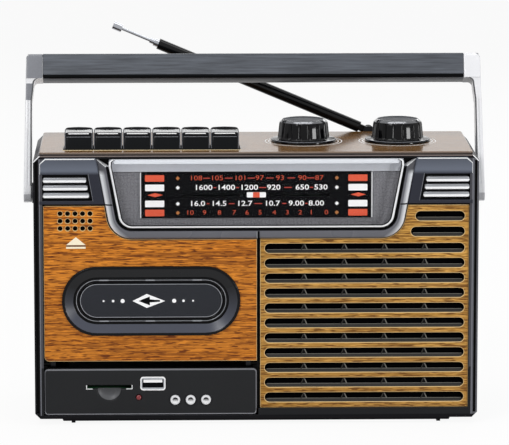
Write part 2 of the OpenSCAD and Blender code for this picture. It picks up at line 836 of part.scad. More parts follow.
module dial_bezel() {
    color("#6a6e76") difference() {
        front(bezel_y, bulk_y0) polygon(bezel_shape(0));
        front(bezel_y - eps, floor_y) polygon(lens_shape(fit_gap / 2, 1));
        pointer_slot(floor_y - eps, bulk_y0 + eps);
    }
}

module pointer_slot(y0, y1) {
    box([-slot_half, y0, pointer_z - stem_h / 2 - 0.5], [slot_half, y1, pointer_z + stem_h / 2 + 0.5]);
}

module dial_plate() {
    color("#1c1d20") difference() {
        box([-dial_w / 2, dial_y, dial_z0], [dial_w / 2, floor_y, dial_z0 + dial_h]);
        pointer_slot(dial_y - eps, floor_y + eps);
    }
}

module dial_lens() {
    inset = lens_bevel;
    color("#dfe6ea", 0.35) union() {
        hull() {
            front(lens_y + lens_bevel, lens_back) polygon(lens_shape(0));
            front(lens_y, lens_y + 0.2) polygon(u_shape(lens_top_w - 2 * inset, lens_bottom_w - 2 * inset,
                bezel_z1 - inset, lens_z0 + inset, lens_r - inset));
        }
        // Feet that stand on the dial floor beside the plate
        for (s = [-1, 1])
            box([s * (dial_w / 2 + 4) - 1, lens_back - 0.1, dial_z0 + 4],
                [s * (dial_w / 2 + 4) + 1, floor_y, dial_z0 + dial_h - 4]);
    }
}

module dial_pointer() {
    y1 = dial_y - 0.4;
    color("#d8402c") difference() {
        union() {
            box([-pointer_w / 2, y1 - 0.9, pointer_z - pointer_h / 2],
                [pointer_w / 2, y1, pointer_z + pointer_h / 2]);
            box([-stem_w / 2, y1 - 0.1, pointer_z - stem_h / 2],
                [stem_w / 2, bulk_y1 + free + 0.1, pointer_z + stem_h / 2]);
            box([-3, bulk_y1 + free, pointer_z - 2], [3, cord_y + 2, pointer_z + 2]);
        }
        box([-3 - eps, cord_y - cord_r - free, pointer_z - cord_r - free],
            [3 + eps, cord_y + cord_r + free, pointer_z + cord_r + free]);
    }
}

module dial_cord() {
    color("#e8e2d0") translate([0, 0, pointer_z - cord_r]) linear_extrude(2 * cord_r) difference() {
        cord_loop(cord_r);
        cord_loop(-cord_r);
    }
}

// The area inside the cord, which runs round both posts and the drum
module cord_loop(grow) {
    hull() {
        for (s = [-1, 1])
            translate([s * post_x, post_y]) circle(r = post_r + cord_r + run + grow, $fn = 24);
        translate([tuning_x, knob_y]) circle(r = drum_r + grow, $fn = 48);
    }
}

// Speaker

module speaker_panel() {
    color("#b98237") difference() {
        front(panel_y, panel_back) polygon([
            [speaker_x0, speaker_z0], [speaker_x1, speaker_z0], [speaker_x1, door_z1], [speaker_x0, door_z1]
        ]);
        front(panel_y - eps, panel_back + eps) polygon(bezel_shape(2 * fit_gap));
        for (i = [0:slot_count - 1])
            slot_cut(slot_x0, slot_x1, speaker_z0 + slot_rise + i * slot_pitch, slot_h, panel_y - eps,
                panel_back + eps);
        // Two short slots beside the dial
        slot_cut(slot_x1 - 31, slot_x1, bezel_z0 + 3.4, slot_h, panel_y - eps, panel_back + eps);
        slot_cut(slot_x1 - 28.4, slot_x1, bezel_z0 + 12.5, slot_h, panel_y - eps, panel_back + eps);
    }
}

module speaker_frame() {
    color("#4a4c50") translate([speaker_x, bulk_y1, speaker_z]) rotate([-90, 0, 0]) difference() {
        union() {
            cylinder(r = speaker_r, h = 1.5);
            translate([0, 0, 1.4]) cylinder(r1 = speaker_r - 3, r2 = magnet_r, h = speaker_d - 14.4);
            translate([0, 0, speaker_d - 14]) cylinder(r = magnet_r, h = 14);
        }
        translate([0, 0, -eps]) cylinder(r = speaker_r - 5, h = 2 + eps);
        translate([0, 0, 1.4]) cylinder(r1 = speaker_r - 5, r2 = magnet_r - 2, h = speaker_d - 15.4);
    }
}

module speaker_cone() {
    rim_r = speaker_r - 5 - fit_gap;
    color("#202124") translate([speaker_x, bulk_y1, speaker_z]) rotate([-90, 0, 0])
        rotate_extrude() polygon([
            [0, 7], [8, 9], [rim_r - 7, 0.8], [rim_r, 0.8],
            [rim_r, 1.6], [rim_r - 6.6, 1.8], [9, 10.6], [0, 8.4]
        ]);
}

// Media panel

module media_panel() {
    lip = 1.2;
    color("#36373c") difference() {
        union() {
            side(left_x, door_x1) polygon(concat(
                [[panel_back, media_z0], [panel_back, media_z1]],
                arc(panel_y + lip, media_z1 - lip, lip, 90, 180), [[panel_y, media_z0]]
            ));
            for (x = [left_x, door_x1 - 2.5])
                box([x, panel_back - 0.1, media_z0 + 1], [x + 2.5, bulk_y0, media_z1 - 3]);
            for (x = [media_board_x0 + 3, door_x1 - 8], z = [media_z0 + 5, media_z1 - 6])
                rod_y(x, z, 2, panel_back - 0.1, usb_back);
        }
        card_slot_cut();
        front(panel_y - eps, panel_back + eps) polygon(round_rect(
            usb_x - usb_w / 2 - fit_gap, usb_z - usb_h / 2 - fit_gap,
            usb_x + usb_w / 2 + fit_gap, usb_z + usb_h / 2 + fit_gap, 1.8));
        rod_y(led_x, led_z, led_d / 2 + run, panel_y - eps, panel_back + eps);
        for (i = [0:2])
            rod_y(button_x + i * button_pitch, button_z, button_d / 2 + run, panel_y - eps,
                panel_back + eps);
    }
}

// The card slot and the half-round thumb recess below it
module card_slot_cut() {
    box([card_x - card_w / 2, panel_y - eps, card_z - card_h / 2],
        [card_x + card_w / 2, panel_back + eps, card_z + card_h / 2]);
    intersection() {
        rod_y(card_x, card_z - card_h / 2, thumb_r, panel_y - eps, panel_y + 1.4);
        box([card_x - thumb_r, panel_y - 2 * eps, card_z - thumb_r - card_h],
            [card_x + thumb_r, panel_back, card_z]);
    }
}

// Circuit board of the media panel with the card socket and switches soldered on it
module media_board() {
    color("#2f6b45") {
        box([media_board_x0, usb_back, media_z0 + 2], [door_x1 - 5, usb_back + board_t, media_z1 - 3]);
        difference() {
            box([card_x - card_w / 2 - 2, panel_back, card_z - card_h / 2 - 1.2],
                [card_x + card_w / 2 + 2, usb_back, card_z + card_h / 2 + 1.2]);
            box([card_x - card_w / 2, panel_back - eps, card_z - card_h / 2],
                [card_x + card_w / 2, usb_back - 1, card_z + card_h / 2]);
        }
        for (i = [0:2])
            box([button_x + i * button_pitch - 3, panel_back + 3.6, button_z - 3],
                [button_x + i * button_pitch + 3, usb_back, button_z + 3]);
        rod_y(led_x, led_z, 0.8, panel_back + 1.5, usb_back);
    }
}

module usb_socket() {
    shell_w = usb_w - 1.3;
    shell_h = usb_h - 1.9;
    skin = 0.4;
    color("#c9ccd0") difference() {
        union() {
            front(panel_y - 0.2, panel_y + 0.5) polygon(round_rect(
                usb_x - usb_w / 2, usb_z - usb_h / 2, usb_x + usb_w / 2, usb_z + usb_h / 2, 1.6));
            box([usb_x - shell_w / 2, panel_y, usb_z - shell_h / 2],
                [usb_x + shell_w / 2, usb_back, usb_z + shell_h / 2]);
        }
        difference() {
            box([usb_x - shell_w / 2 + skin, panel_y - eps, usb_z - shell_h / 2 + skin],
                [usb_x + shell_w / 2 - skin, usb_back - 1, usb_z + shell_h / 2 - skin]);
            // Contact tongue
            box([usb_x - shell_w / 2 + 1, panel_y + 1, usb_z + 0.2],
                [usb_x + shell_w / 2 - 1, usb_back, usb_z + 2]);
        }
    }
}

module power_led() {
    color("#b02a26") {
        rod_y(led_x, led_z, led_d / 2, panel_y - 0.4, panel_back + 0.1);
        rod_y(led_x, led_z, led_d / 2 + 0.4, panel_back, panel_back + 1.5);
    }
}

module media_button(i) {
    x = button_x + i * button_pitch;
    color("#d2d4d8") {
        rod_y(x, button_z, button_d / 2, panel_y - button_proud, panel_back + 0.4);
        rod_y(x, button_z, button_d / 2 + 0.5, panel_back + free, panel_back + 1.4);
        rod_y(x, button_z, 1.4, panel_back + 1, panel_back + 3.6 - button_travel - 0.1);
    }
}

module next_button() { media_button(0); }
module previous_button() { media_button(1); }
module pause_button() { media_button(2); }

// Cassette door

module door_panel() {
    color("#a9672a") difference() {
        front(panel_y, panel_back) polygon(concat(
            arc(left_x + 3.2, door_z0 + 3, 3, 180, 270),
            [[door_x1, door_z0], [door_x1, door_z1], [left_x + 0.2, door_z1]]
        ));
        front(panel_y - eps, panel_back + eps) polygon(bezel_shape(3 * fit_gap));
        oval(window_r - 2, panel_y - eps, panel_back + eps);
        for (i = [0:4], j = [0:2])
            rod_y(left_x + 9.9 + i * mic_pitch, door_z1 - 4.5 - j * mic_pitch, mic_d / 2, panel_y - eps,
                panel_back + eps);
    }
}

// Section of the window bezel, as distance from the oval's centre line and depth
function ring_section() = [
    [window_r - 0.6, panel_y - window_proud], [window_r, panel_y - window_proud + 0.6], [window_r, panel_y],
    [window_r - 2 - fit_gap, panel_y], [window_r - 2 - fit_gap, panel_back],
    [pane_r, panel_back], [pane_r, panel_back - 0.9], [slope_r, panel_back - 0.9], [slope_r, panel_y + 1.1],
    [window_r - 1.4, panel_y - window_proud + 0.2], [window_r - 1.1, panel_y - window_proud]
];

module ring_end() {
    rotate([90, 0, 0]) rotate_extrude(angle = 180) polygon([for (p = ring_section()) [p[0], -p[1]]]);
}

module ring_side() {
    rotate([90, 0, 90]) linear_extrude(window_len, center = true)
        polygon([for (p = ring_section()) [p[1], p[0]]]);
}

module window_bezel() {
    color("#17181a") translate([deck_x, 0, window_z]) {
        translate([window_len / 2, 0, 0]) rotate([0, 90, 0]) ring_end();
        translate([-window_len / 2, 0, 0]) rotate([0, -90, 0]) ring_end();
        ring_side();
        mirror([0, 0, 1]) ring_side();
    }
}

module window_pane() {
    y1 = panel_back + run + pane_t;
    color("#33363a", 0.6) {
        oval(window_r - 2.4, panel_back + run, y1);
        oval(pane_r - fit_gap, panel_y + pane_sink, y1);
    }
}

// Holder behind the door with side channels, a ledge and the hinge lugs
module cassette_holder() {
    channel_x = cassette_w / 2 + 0.5;
    y0 = panel_back;
    y1 = cassette_y1 + 1;
    pane_back = panel_back + run + pane_t;
    color("#202124") difference() {
        union() {
            for (s = [-1, 1])
                translate([deck_x + s * (channel_x + 1), 0, 0])
                    box([-1, y0, door_z0 + 1], [1, y1, hub_z + 16]);
            box([deck_x - channel_x - 1, y0, cassette_z0 - 2.5],
                [deck_x + channel_x + 1, y1, cassette_z0 - 0.5]);
            lug(lug_left);
            lug(lug_right - lug_w);
            // Foot bar that joins the lugs to the side channels
            box([lug_left, y0, door_z0 + 1], [lug_right, y0 + 3.4, door_z0 + 3.4]);
        }
        rod_x(hinge_y, hinge_z, door_pin_r + run, lug_left - eps, lug_left + lug_w + eps);
        rod_x(hinge_y, hinge_z, door_pin_r + run, lug_right - lug_w - eps, lug_right + eps);
        oval(window_r - 2.4 + fit_gap, y0 - eps, pane_back + fit_gap);
    }
}

module lug(x) {
    rod_x(hinge_y, hinge_z, lug_r, x, x + lug_w);
    box([x, hinge_y - lug_r, hinge_z], [x + lug_w, hinge_y + lug_r, door_z0 + 3.4]);
}

// Tape deck

module tape_chassis() {
    x0 = key_x0 - 2.5;
    x1 = key_x1 + 2.5;
    color("#9aa0a6") difference() {
        union() {
            box([x0, deck_y0, door_z0 + 1], [x1, deck_y1, cassette_z1 + 19]);
            // Wings and pillars that hold the chassis to the bulkhead
            box([-panel_x, deck_y0, hub_z - 18], [door_x1 + 2.6, deck_y1, hub_z + 18]);
            for (x = [-panel_x + 1.4, door_x1 + 0.6], z = [hub_z - 14, hub_z + 14])
                rod_y(x, z, 1.4, bulk_y1, deck_y0 + 0.1);
            for (x = [deck_x - 44, deck_x + 44])
                rod_y(x, cassette_z1 + 9, 1.4, bulk_y1, deck_y0 + 0.1);
            // Motor pillars
            rod_y(motor_x - 9, motor_z + 7, 2, deck_y1 - 0.1, motor_y0);
            rod_y(motor_x, motor_z - 11, 2, deck_y1 - 0.1, motor_y0);
            rod_y(capstan_x, capstan_z, 3, deck_y0, fly_y0 - free);
            // Ears for the key shaft
            for (x = [x0, x1 - 1.5])
                side(x, x + 1.5) polygon([
                    [deck_y0, cassette_z1 + 11], [deck_y0, cassette_z1 + 19],
                    [key_shaft_y - 6, key_shaft_z + 3.6], [key_shaft_y + 3.6, key_shaft_z + 3.6],
                    [key_shaft_y + 3.6, key_shaft_z - 3.6], [deck_y1, cassette_z1 + 11]
                ]);
        }
        for (s = [-1, 1])
            rod_y(deck_x + s * hub_pitch / 2, hub_z, 1.5 + run, deck_y0 - eps, deck_y1 + eps);
        rod_y(capstan_x, capstan_z, capstan_r + run, deck_y0 - eps, fly_y0);
        rod_x(key_shaft_y, key_shaft_z, shaft_r + run, x0 - eps, x1 + eps);
    }
}

module spindle(x) {
    color("#e6e4dc") union() {
        rod_y(x, hub_z, 3, deck_y0 - 9.5, deck_y0 - 1);
        rod_y(x, hub_z, 6, deck_y0 - 1.2, deck_y0 - free);
        rod_y(x, hub_z, 1.5, deck_y0 - free - 0.1, deck_y1 + free + 0.1);
        rod_y(x, hub_z, 8, deck_y1 + free, fly_y0 - 0.6);
        for (a = [90, 210, 330])
            translate([x, 0, hub_z]) rotate([0, a, 0])
                box([2, deck_y0 - 8.5, -0.6], [4.2, deck_y0 - 1.1, 0.6]);
    }
}

module supply_spindle() { spindle(deck_x - hub_pitch / 2); }
module takeup_spindle() { spindle(deck_x + hub_pitch / 2); }

module flywheel() {
    color("#c0a050") {
        rod_y(capstan_x, capstan_z, flywheel_r, fly_y0, fly_y0 + fly_d);
        rod_y(capstan_x, capstan_z, capstan_r, deck_y0 - 9, fly_y0 + 0.1);
    }
}

module tape_motor() {
    color("#a8acb2") difference() {
        rod_y(motor_x, motor_z, motor_r, motor_y0, motor_y0 + motor_len);
        rod_y(motor_x, motor_z, capstan_r + run, motor_y0 - eps, motor_y0 + 4);
    }
}

module motor_pulley() {
    color("#b5a15a") {
        rod_y(motor_x, motor_z, pulley_r, fly_y0 + 1, fly_y0 + fly_d - 1);
        rod_y(motor_x, motor_z, capstan_r, fly_y0 + 1.5, motor_y0 + 3.5);
    }
}

module drive_belt() {
    color("#1a1a1c") front(fly_y0 + 1.8, fly_y0 + fly_d - 1.8) difference() {
        belt_loop(free + 0.8);
        belt_loop(free);
    }
}

module belt_loop(grow) {
    hull() {
        translate([motor_x, motor_z]) circle(r = pulley_r + grow, $fn = 24);
        translate([capstan_x, capstan_z]) circle(r = flywheel_r + grow, $fn = 48);
    }
}

// Plate that carries the tape head and the roller's pin
module head_plate() {
    y0 = deck_y0 - free - 1;
    color("#b9bdc2") union() {
        box([deck_x - 28, y0, head_z], [deck_x + 28, deck_y0 - free, head_z + 13]);
        box([deck_x - 6, bulk_y1 + 0.6, head_z + 0.3], [deck_x + 6, y0 + 0.1, head_z + 9.5]);
        rod_y(capstan_x, roller_z, 1, bulk_y1 + 1, y0 + 0.1);
    }
}

module pinch_roller() {
    color("#1d1d1f") difference() {
        rod_y(capstan_x, roller_z, roller_r, bulk_y1 + 2, deck_y0 - free - 2);
        rod_y(capstan_x, roller_z, 1 + run, bulk_y1 + 1, deck_y0 - free);
    }
}

// Piano keys

module key_shaft() {
    color("#c4c8cc") rod_x(key_shaft_y, key_shaft_z, shaft_r, key_x0 - 3, key_x1 + 3);
}

// Front of a key at a height, on an arc about the key shaft
function key_front(z) = key_shaft_y - sqrt(pow(key_r, 2) - pow(z - key_shaft_z, 2));

module piano_key(i) {
    x0 = key_x0 + i * key_pitch;
    x1 = x0 + key_pitch - key_gap;
    top = top_z + key_h;
    rear = key_y + key_d;
    low = key_shaft_z + 1;
    steps = 6;
    lip = key_front(top - key_round) + key_round;
    mid = (x0 + x1) / 2;
    color("#141517") difference() {
        union() {
            intersection() {
                side(x0, x1) polygon(concat(
                    [for (k = [0:steps])
                        let (z = low + (top - key_round - low) * k / steps)
                        [key_front(z), z]],
                    arc(lip, top - key_round, key_round, 150, 90, 4),
                    [for (k = [1:steps - 1])
                        [lip + (rear - key_round - lip) * k / steps, top - key_dip * sin(180 * k / steps)]],
                    arc(rear - key_round, top - key_round, key_round, 90, 0, 4), [[rear, low]]
                ));
                front(key_shaft_y - key_r - 1, rear + 1) polygon([
                    [x0, low], [x1, low], [x1, top - key_round], [x1 - key_round / 2, top],
                    [x0 + key_round / 2, top], [x0, top - key_round]
                ]);
            }
            box([mid - 4, rear - 6, key_shaft_z - 1.5], [mid + 4, key_shaft_y, low + 1.5]);
            rod_x(key_shaft_y, key_shaft_z, eye_r, mid - 4.5, mid + 4.5);
        }
        rod_x(key_shaft_y, key_shaft_z, shaft_r + run, mid - 4.5 - eps, mid + 4.5 + eps);
    }
}

module record_key() { piano_key(0); }
module play_key() { piano_key(1); }
module rewind_key() { piano_key(2); }
module forward_key() { piano_key(3); }
module stop_key() { piano_key(4); }
module pause_key() { piano_key(5); }

// Knobs, drum and the radio's boards

// A fluted knob with a skirt and a dished top, on a shaft that reaches down to low
module knob(x, low) {
    base = top_z + free;
    cap_h = 1.5;
    body_top = base + skirt_t + knob_h - cap_h;
    flute_out = knob_r + flute_r * 0.35;
    cap_r = flute_out - flute_r - 0.3;
    color("#101113") translate([x, knob_y, 0]) union() {
        translate([0, 0, base]) rotate_extrude() polygon([
            [0, 0], [skirt_r, 0], [skirt_r, skirt_t * 0.35], [knob_r + 0.4, skirt_t], [0, skirt_t]
        ]);
        difference() {
            rod_z(0, 0, knob_r, base + skirt_t, body_top);
            for (i = [0:flute_count - 1])
                rotate(360 / flute_count * i)
                    rod_z(flute_out, 0, flute_r, base + skirt_t - eps, body_top + eps);
        }
        translate([0, 0, body_top]) rotate_extrude() polygon([
            [0, 0], [cap_r, 0], [cap_r - 1.8, cap_h], [cap_r - 2.4, cap_h], [cap_r - 3.6, cap_h - 0.8],
            [0, cap_h - 1]
        ]);
        rod_z(0, 0, stem_r, low, base);
    }
}

module tuning_knob() { knob(tuning_x, capacitor_z + capacitor_h + free); }
module volume_knob() { knob(volume_x, z1 - wall - 4 + free); }

module tuning_drum() {
    color("#d9d5c8") difference() {
        union() {
            rod_z(tuning_x, knob_y, drum_r - cord_r - free, drum_z, drum_z + drum_t);
            rod_z(tuning_x, knob_y, 7, drum_z - 2, drum_z + drum_t + 4);
        }
        rod_z(tuning_x, knob_y, stem_r + run, drum_z - 2 - eps, drum_z + drum_t + 4 + eps);
    }
}

// Radio circuit board with the tuning capacitor, and the volume control under the cabinet's top
module radio_board() {
    color("#35704a") {
        box([speaker_x0, part_y - 12, board_z], [half_w - wall - 6, rear_in - 8, board_z + board_t]);
        box([tuning_x - 10, knob_y - 10, capacitor_z],
            [tuning_x + 10, knob_y + 10, capacitor_z + capacitor_h]);
        difference() {
            rod_z(volume_x, knob_y, 7.5, z1 - wall - 10, z1 - wall);
            rod_z(volume_x, knob_y, stem_r + run, z1 - wall - 4, z1 - wall + eps);
        }
    }
}

module ferrite_rod() {
    y = trough_y - wall - ferrite_r - 1;
    z = z1 - wall - ferrite_r - 3;
    x0 = key_x0 + 4;
    color("#3a3532") {
        rod_x(y, z, ferrite_r, x0, x0 + ferrite_len);
        for (x = [x0 + 10, x0 + ferrite_len - 18])
            difference() {
                box([x, y - ferrite_r - 1, z], [x + 8, y + ferrite_r + 1, z1 - wall]);
                rod_x(y, z, ferrite_r, x - eps, x + 8 + eps);
            }
    }
}

module transformer() {
    x = speaker_x - core_w / 2 - 12;
    y0 = part_y + 18;
    low = z0 + wall;
    color("#7d7468") {
        box([x, y0, low], [x + core_w, y0 + 20, low + core_h]);
        box([x + 5, y0 - 7, low + 6], [x + core_w - 5, y0, low + core_h - 6]);
        box([x + 5, y0 + 20, low + 6], [x + core_w - 5, y0 + 27, low + core_h - 6]);
    }
}

// Rear

module battery_box() {
    t = 2;
    color("#4b4d52") difference() {
        box([bay_x0 - t, bay_y0 - t, bay_z0 - t], [bay_x0 + bay_w + t, rear_in, bay_z0 + bay_h + t]);
        box([bay_x0, bay_y0, bay_z0], [bay_x0 + bay_w, rear_in + eps, bay_z0 + bay_h]);
    }
}

module battery_door() {
    color("#33343a") difference() {
        union() {
            box([bay_x0 + free, rear_in + free, bay_z0 + free],
                [bay_x0 + bay_w - free, rear_y, bay_z0 + bay_h - free]);
            for (x = [bay_x0 + 14, bay_x0 + bay_w - 22])
                box([x, rear_in - 5, bay_z0 + free], [x + 8, rear_in + 1, bay_z0 + free + 1.6]);
        }
        // Thumb notch of the catch
        box([bay_x0 + bay_w / 2 - 8, rear_y - 1, bay_z0 + bay_h - 6],
            [bay_x0 + bay_w / 2 + 8, rear_y + eps, bay_z0 + bay_h - 3]);
    }
}

module power_inlet() {
    color("#222326") union() {
        difference() {
            box([inlet_x - 10 + fit_gap, rear_in - 14, inlet_z - 7 + fit_gap],
                [inlet_x + 10 - fit_gap, rear_y, inlet_z + 7 - fit_gap]);
            box([inlet_x - 8, rear_in - 12, inlet_z - 4.4], [inlet_x + 8, rear_y + eps, inlet_z + 4.4]);
        }
        for (s = [-1, 1])
            rod_y(inlet_x + s * 4.3, inlet_z, 1.2, rear_in - 12.1, rear_in - 2);
    }
}

module earphone_jack() {
    color("#2a2b2e") difference() {
        union() {
            rod_x(jack_y, jack_z, 4, side_in - 1, half_w + 0.6);
            box([side_in - 12, jack_y - 5, jack_z - 5], [side_in, jack_y + 5, jack_z + 5]);
        }
        rod_x(jack_y, jack_z, jack_r, side_in - 10, half_w + 0.6 + eps);
    }
}

module slide_switch(z) {
    color("#1e1f22") {
        box([side_in - free - 0.9, switch_y - 12, z - 3.5], [side_in - free, switch_y + 12, z + 3.5]);
        box([side_in - free - 0.1, switch_y - 2.5, z - 1.5], [half_w + 1.6, switch_y + 2.5, z + 1.5]);
    }
}

module band_switch() { slide_switch(switch_zs[1]); }
module function_switch() { slide_switch(switch_zs[0]); }

module cabinet_screws() {
    color("#8f949a") for (p = screw_places) difference() {
        union() {
            rod_y(p[0], p[1], screw_r + 1.5, part_y + 5, part_y + 7);
            rod_y(p[0], p[1], screw_r, part_y - 11, part_y + 5.1);
        }
        for (a = [0, 90])
            translate([p[0], part_y + 6.3, p[1]]) rotate([0, a, 0])
                box([-2, 0, -0.35], [2, 1, 0.35]);
    }
}

// Handle

// Places a shape drawn upright about the pivot into the leaning handle
module leaning() {
    translate([0, pivot_y, pivot_z]) rotate([-handle_lean, 0, 0]) children();
}

module handle_arm(m) {
    low = arm_w / 2;
    top = handle_len + grip_h / 2;
    foot_x = arm_x1;
    head_x = arm_x1 - arm_taper;
    inner = head_x - arm_t;
    corner = 3;
    color("#d9dbdd") leaning() mirror([m, 0, 0]) difference() {
        intersection() {
            front(-grip_t / 2, grip_t / 2) polygon(concat(
                [[arm_x0, -low], [foot_x, -low]],
                arc(head_x - corner, top - corner, corner, 0, 90),
                [[grip_x, top], [grip_x, grip_z]],
                arc(inner - corner, grip_z - corner, corner, 90, 0)
            ));
            side(grip_x - 1, foot_x + 1) polygon(concat(
                arc(0, 0, arm_w / 2, 180, 360, 16),
                [[arm_w / 2, grip_z - 8]],
                arc(grip_t / 2 - grip_round, top - grip_round, grip_round, 0, 90),
                arc(-grip_t / 2 + grip_round, top - grip_round, grip_round, 90, 180),
                [[-arm_w / 2, grip_z - 8]]
            ));
        }
        rod_x(0, 0, pivot_r + run, arm_x0 - eps, arm_x1 - 1.5);
        // Line along the front of the arm
        box([arm_x0 + 1.4, -arm_w / 2 - 1, 4], [arm_x0 + 2.6, -arm_w / 2 + 0.5, grip_z - 12]);
    }
}

module handle_arm_right() { handle_arm(0); }
module handle_arm_left() { handle_arm(1); }

module handle_grip() {
    color("#3f4247") leaning()
        side(-grip_x, grip_x)
            polygon(round_rect(-grip_t / 2, grip_z, grip_t / 2, grip_z + grip_h, grip_round));
}

// Antenna

module antenna_bracket() {
    color("#b8bcc0") {
        difference() {
            for (s = [-1, 1])
                translate([antenna_x, antenna_y + s * (eye_half + 1), antenna_z]) {
                    rod_y(0, 0, 3.2, -0.8, 0.8);
                    box([-3.2, -0.8, trough_z - antenna_z], [3.2, 0.8, 0]);
                }
            rod_y(antenna_x, antenna_z, 1, antenna_y - 6, antenna_y + 6);
        }
        box([antenna_x - 5, antenna_y - eye_half - 1.8, trough_z],
            [antenna_x + 5, antenna_y + eye_half + 1.8, trough_z + 1]);
        rod_y(antenna_x, antenna_z, 1.5, antenna_y - eye_half - 1.8, antenna_y + eye_half + 1.8);
    }
}

// Places a shape drawn along -X from the pivot into the raised antenna
module raised() {
    translate([antenna_x, antenna_y, antenna_z]) rotate([0, antenna_tilt, 0]) children();
}

module antenna_tube() {
    color("#121315") raised() difference() {
        union() {
            rod_x(0, 0, tube_r, -tube_len, -6);
            box([-7, -eye_half, -2], [0, eye_half, 2]);
            rod_y(0, 0, 3, -eye_half, eye_half);
        }
        rod_y(0, 0, 1.5 + run, -eye_half - eps, eye_half + eps);
        rod_x(0, 0, middle_r + run, -tube_len - eps, -12);
    }
}

module antenna_middle() {
    color("#d5d7da") raised() difference() {
        rod_x(0, 0, middle_r, -tube_len - middle_out, -middle_end);
        rod_x(0, 0, inner_r + run, -tube_len - middle_out - eps, -middle_end - 4);
    }
}

module antenna_rod() {
    color("#d5d7da") raised() union() {
        rod_x(0, 0, inner_r, -inner_tip, -inner_end);
        rod_x(0, 0, rod_r, -antenna_len + 1, -inner_tip + 0.4);
        rod_x(0, 0, tip_r, -antenna_len, -antenna_len + tip_len);
    }
}

front_cabinet();
rear_cabinet();
top_cover();
shoulder_panels();
shoulder_bars();
dial_bezel();
dial_plate();
dial_lens();
speaker_panel();
speaker_frame();
speaker_cone();
media_panel();
media_board();
usb_socket();
power_led();
tape_chassis();
tape_motor();
drive_belt();
key_shaft();
radio_board();
dial_cord();
ferrite_rod();
transformer();
battery_box();
power_inlet();
earphone_jack();
antenna_bracket();
cabinet_screws();
handle_arm_left();
handle_arm_right();
handle_grip();
door_panel();
window_bezel();
window_pane();
cassette_holder();
record_key();
play_key();
rewind_key();
forward_key();
stop_key();
pause_key();
tuning_knob();
tuning_drum();
dial_pointer();
volume_knob();
antenna_tube();
antenna_middle();
antenna_rod();
next_button();
previous_button();
pause_button();
supply_spindle();
takeup_spindle();
flywheel();
motor_pulley();
battery_door();
band_switch();
function_switch();
head_plate();
pinch_roller();
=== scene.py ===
"""Looks of a portable radio cassette player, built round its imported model."""
import json
import math

import bmesh
import bpy
from mathutils import Matrix, Vector


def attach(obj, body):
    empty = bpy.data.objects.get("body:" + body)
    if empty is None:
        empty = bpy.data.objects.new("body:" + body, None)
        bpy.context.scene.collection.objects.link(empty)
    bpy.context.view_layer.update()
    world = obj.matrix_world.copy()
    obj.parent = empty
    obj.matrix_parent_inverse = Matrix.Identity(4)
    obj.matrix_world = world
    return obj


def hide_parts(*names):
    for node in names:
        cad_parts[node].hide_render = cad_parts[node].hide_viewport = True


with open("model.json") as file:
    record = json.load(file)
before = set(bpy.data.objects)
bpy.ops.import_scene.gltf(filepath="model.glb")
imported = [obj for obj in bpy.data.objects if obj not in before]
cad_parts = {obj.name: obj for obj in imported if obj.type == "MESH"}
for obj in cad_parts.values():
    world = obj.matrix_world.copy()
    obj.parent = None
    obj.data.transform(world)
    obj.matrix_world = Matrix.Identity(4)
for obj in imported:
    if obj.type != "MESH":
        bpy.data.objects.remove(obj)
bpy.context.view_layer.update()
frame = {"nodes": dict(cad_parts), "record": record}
NODES = frame["nodes"]
SCENE = bpy.context.scene

# All sizes below are in millimetres and are turned into metres when a mesh is made.
MM = 0.001

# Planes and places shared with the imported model
PANEL_Y = -45.0
PANEL_BACK = -42.5
PART_Y = -8.0
REAR_Y = 50.0
HALF_W = 128.0
TOP_Z = 159.0
DOOR_X = (-122.65, 0.3)
DOOR_Z = (37.1, 128.0)
SPEAKER_X = (2.2, 122.65)
SPEAKER_Z = (9.4, 128.0)
MEDIA_Z = (5.5, 32.5)
WINDOW = (-60.65, 72.5)
WINDOW_LEN = 62.4
KNOB_Y = 0.0
TUNING_X = 28.7
VOLUME_X = 83.7
PIVOT = (0.0, 129.0)
LEAN = math.radians(22)
# The dial's top, and of its bezel and lens: width along the top and at the bottom, lowest line, corner radius
DIAL_TOP = 155.2
BEZEL = (183.4, 166.6, 109.0, 14.0)
LENS = (170.8, 156.0, 115.5, 8.0)


# Materials

def srgb(*color):
    """Linear colour of an 8-bit display colour."""
    steps = [c / 255 for c in color]
    return (*[c / 12.92 if c <= 0.04045 else ((c + 0.055) / 1.055) ** 2.4 for c in steps], 1.0)


def shade(color, k):
    return (color[0] * k, color[1] * k, color[2] * k, 1.0)


def assign(thing, **values):
    """Sets attributes of a node, a modifier or other data."""
    for key, value in values.items():
        setattr(thing, key, value)
    return thing


class Graph:
    """The nodes of a material or of the world."""

    def __init__(self, holder):
        holder.use_nodes = True
        self.tree = holder.node_tree

    def node(self, kind, **values):
        return assign(self.tree.nodes.new(kind), **values)

    def feed(self, made, inputs):
        """Links a node's inputs to outputs of others, or sets them to constants."""
        for key, value in inputs.items():
            if isinstance(value, bpy.types.NodeSocket):
                self.tree.links.new(value, made.inputs[key])
            else:
                made.inputs[key].default_value = value

    def math(self, operation, a, b=0.0):
        made = self.node("ShaderNodeMath", operation=operation)
        self.feed(made, {0: a, 1: b})
        return made.outputs["Value"]

    def both(self, a, b):
        return self.math("MULTIPLY", a, b)


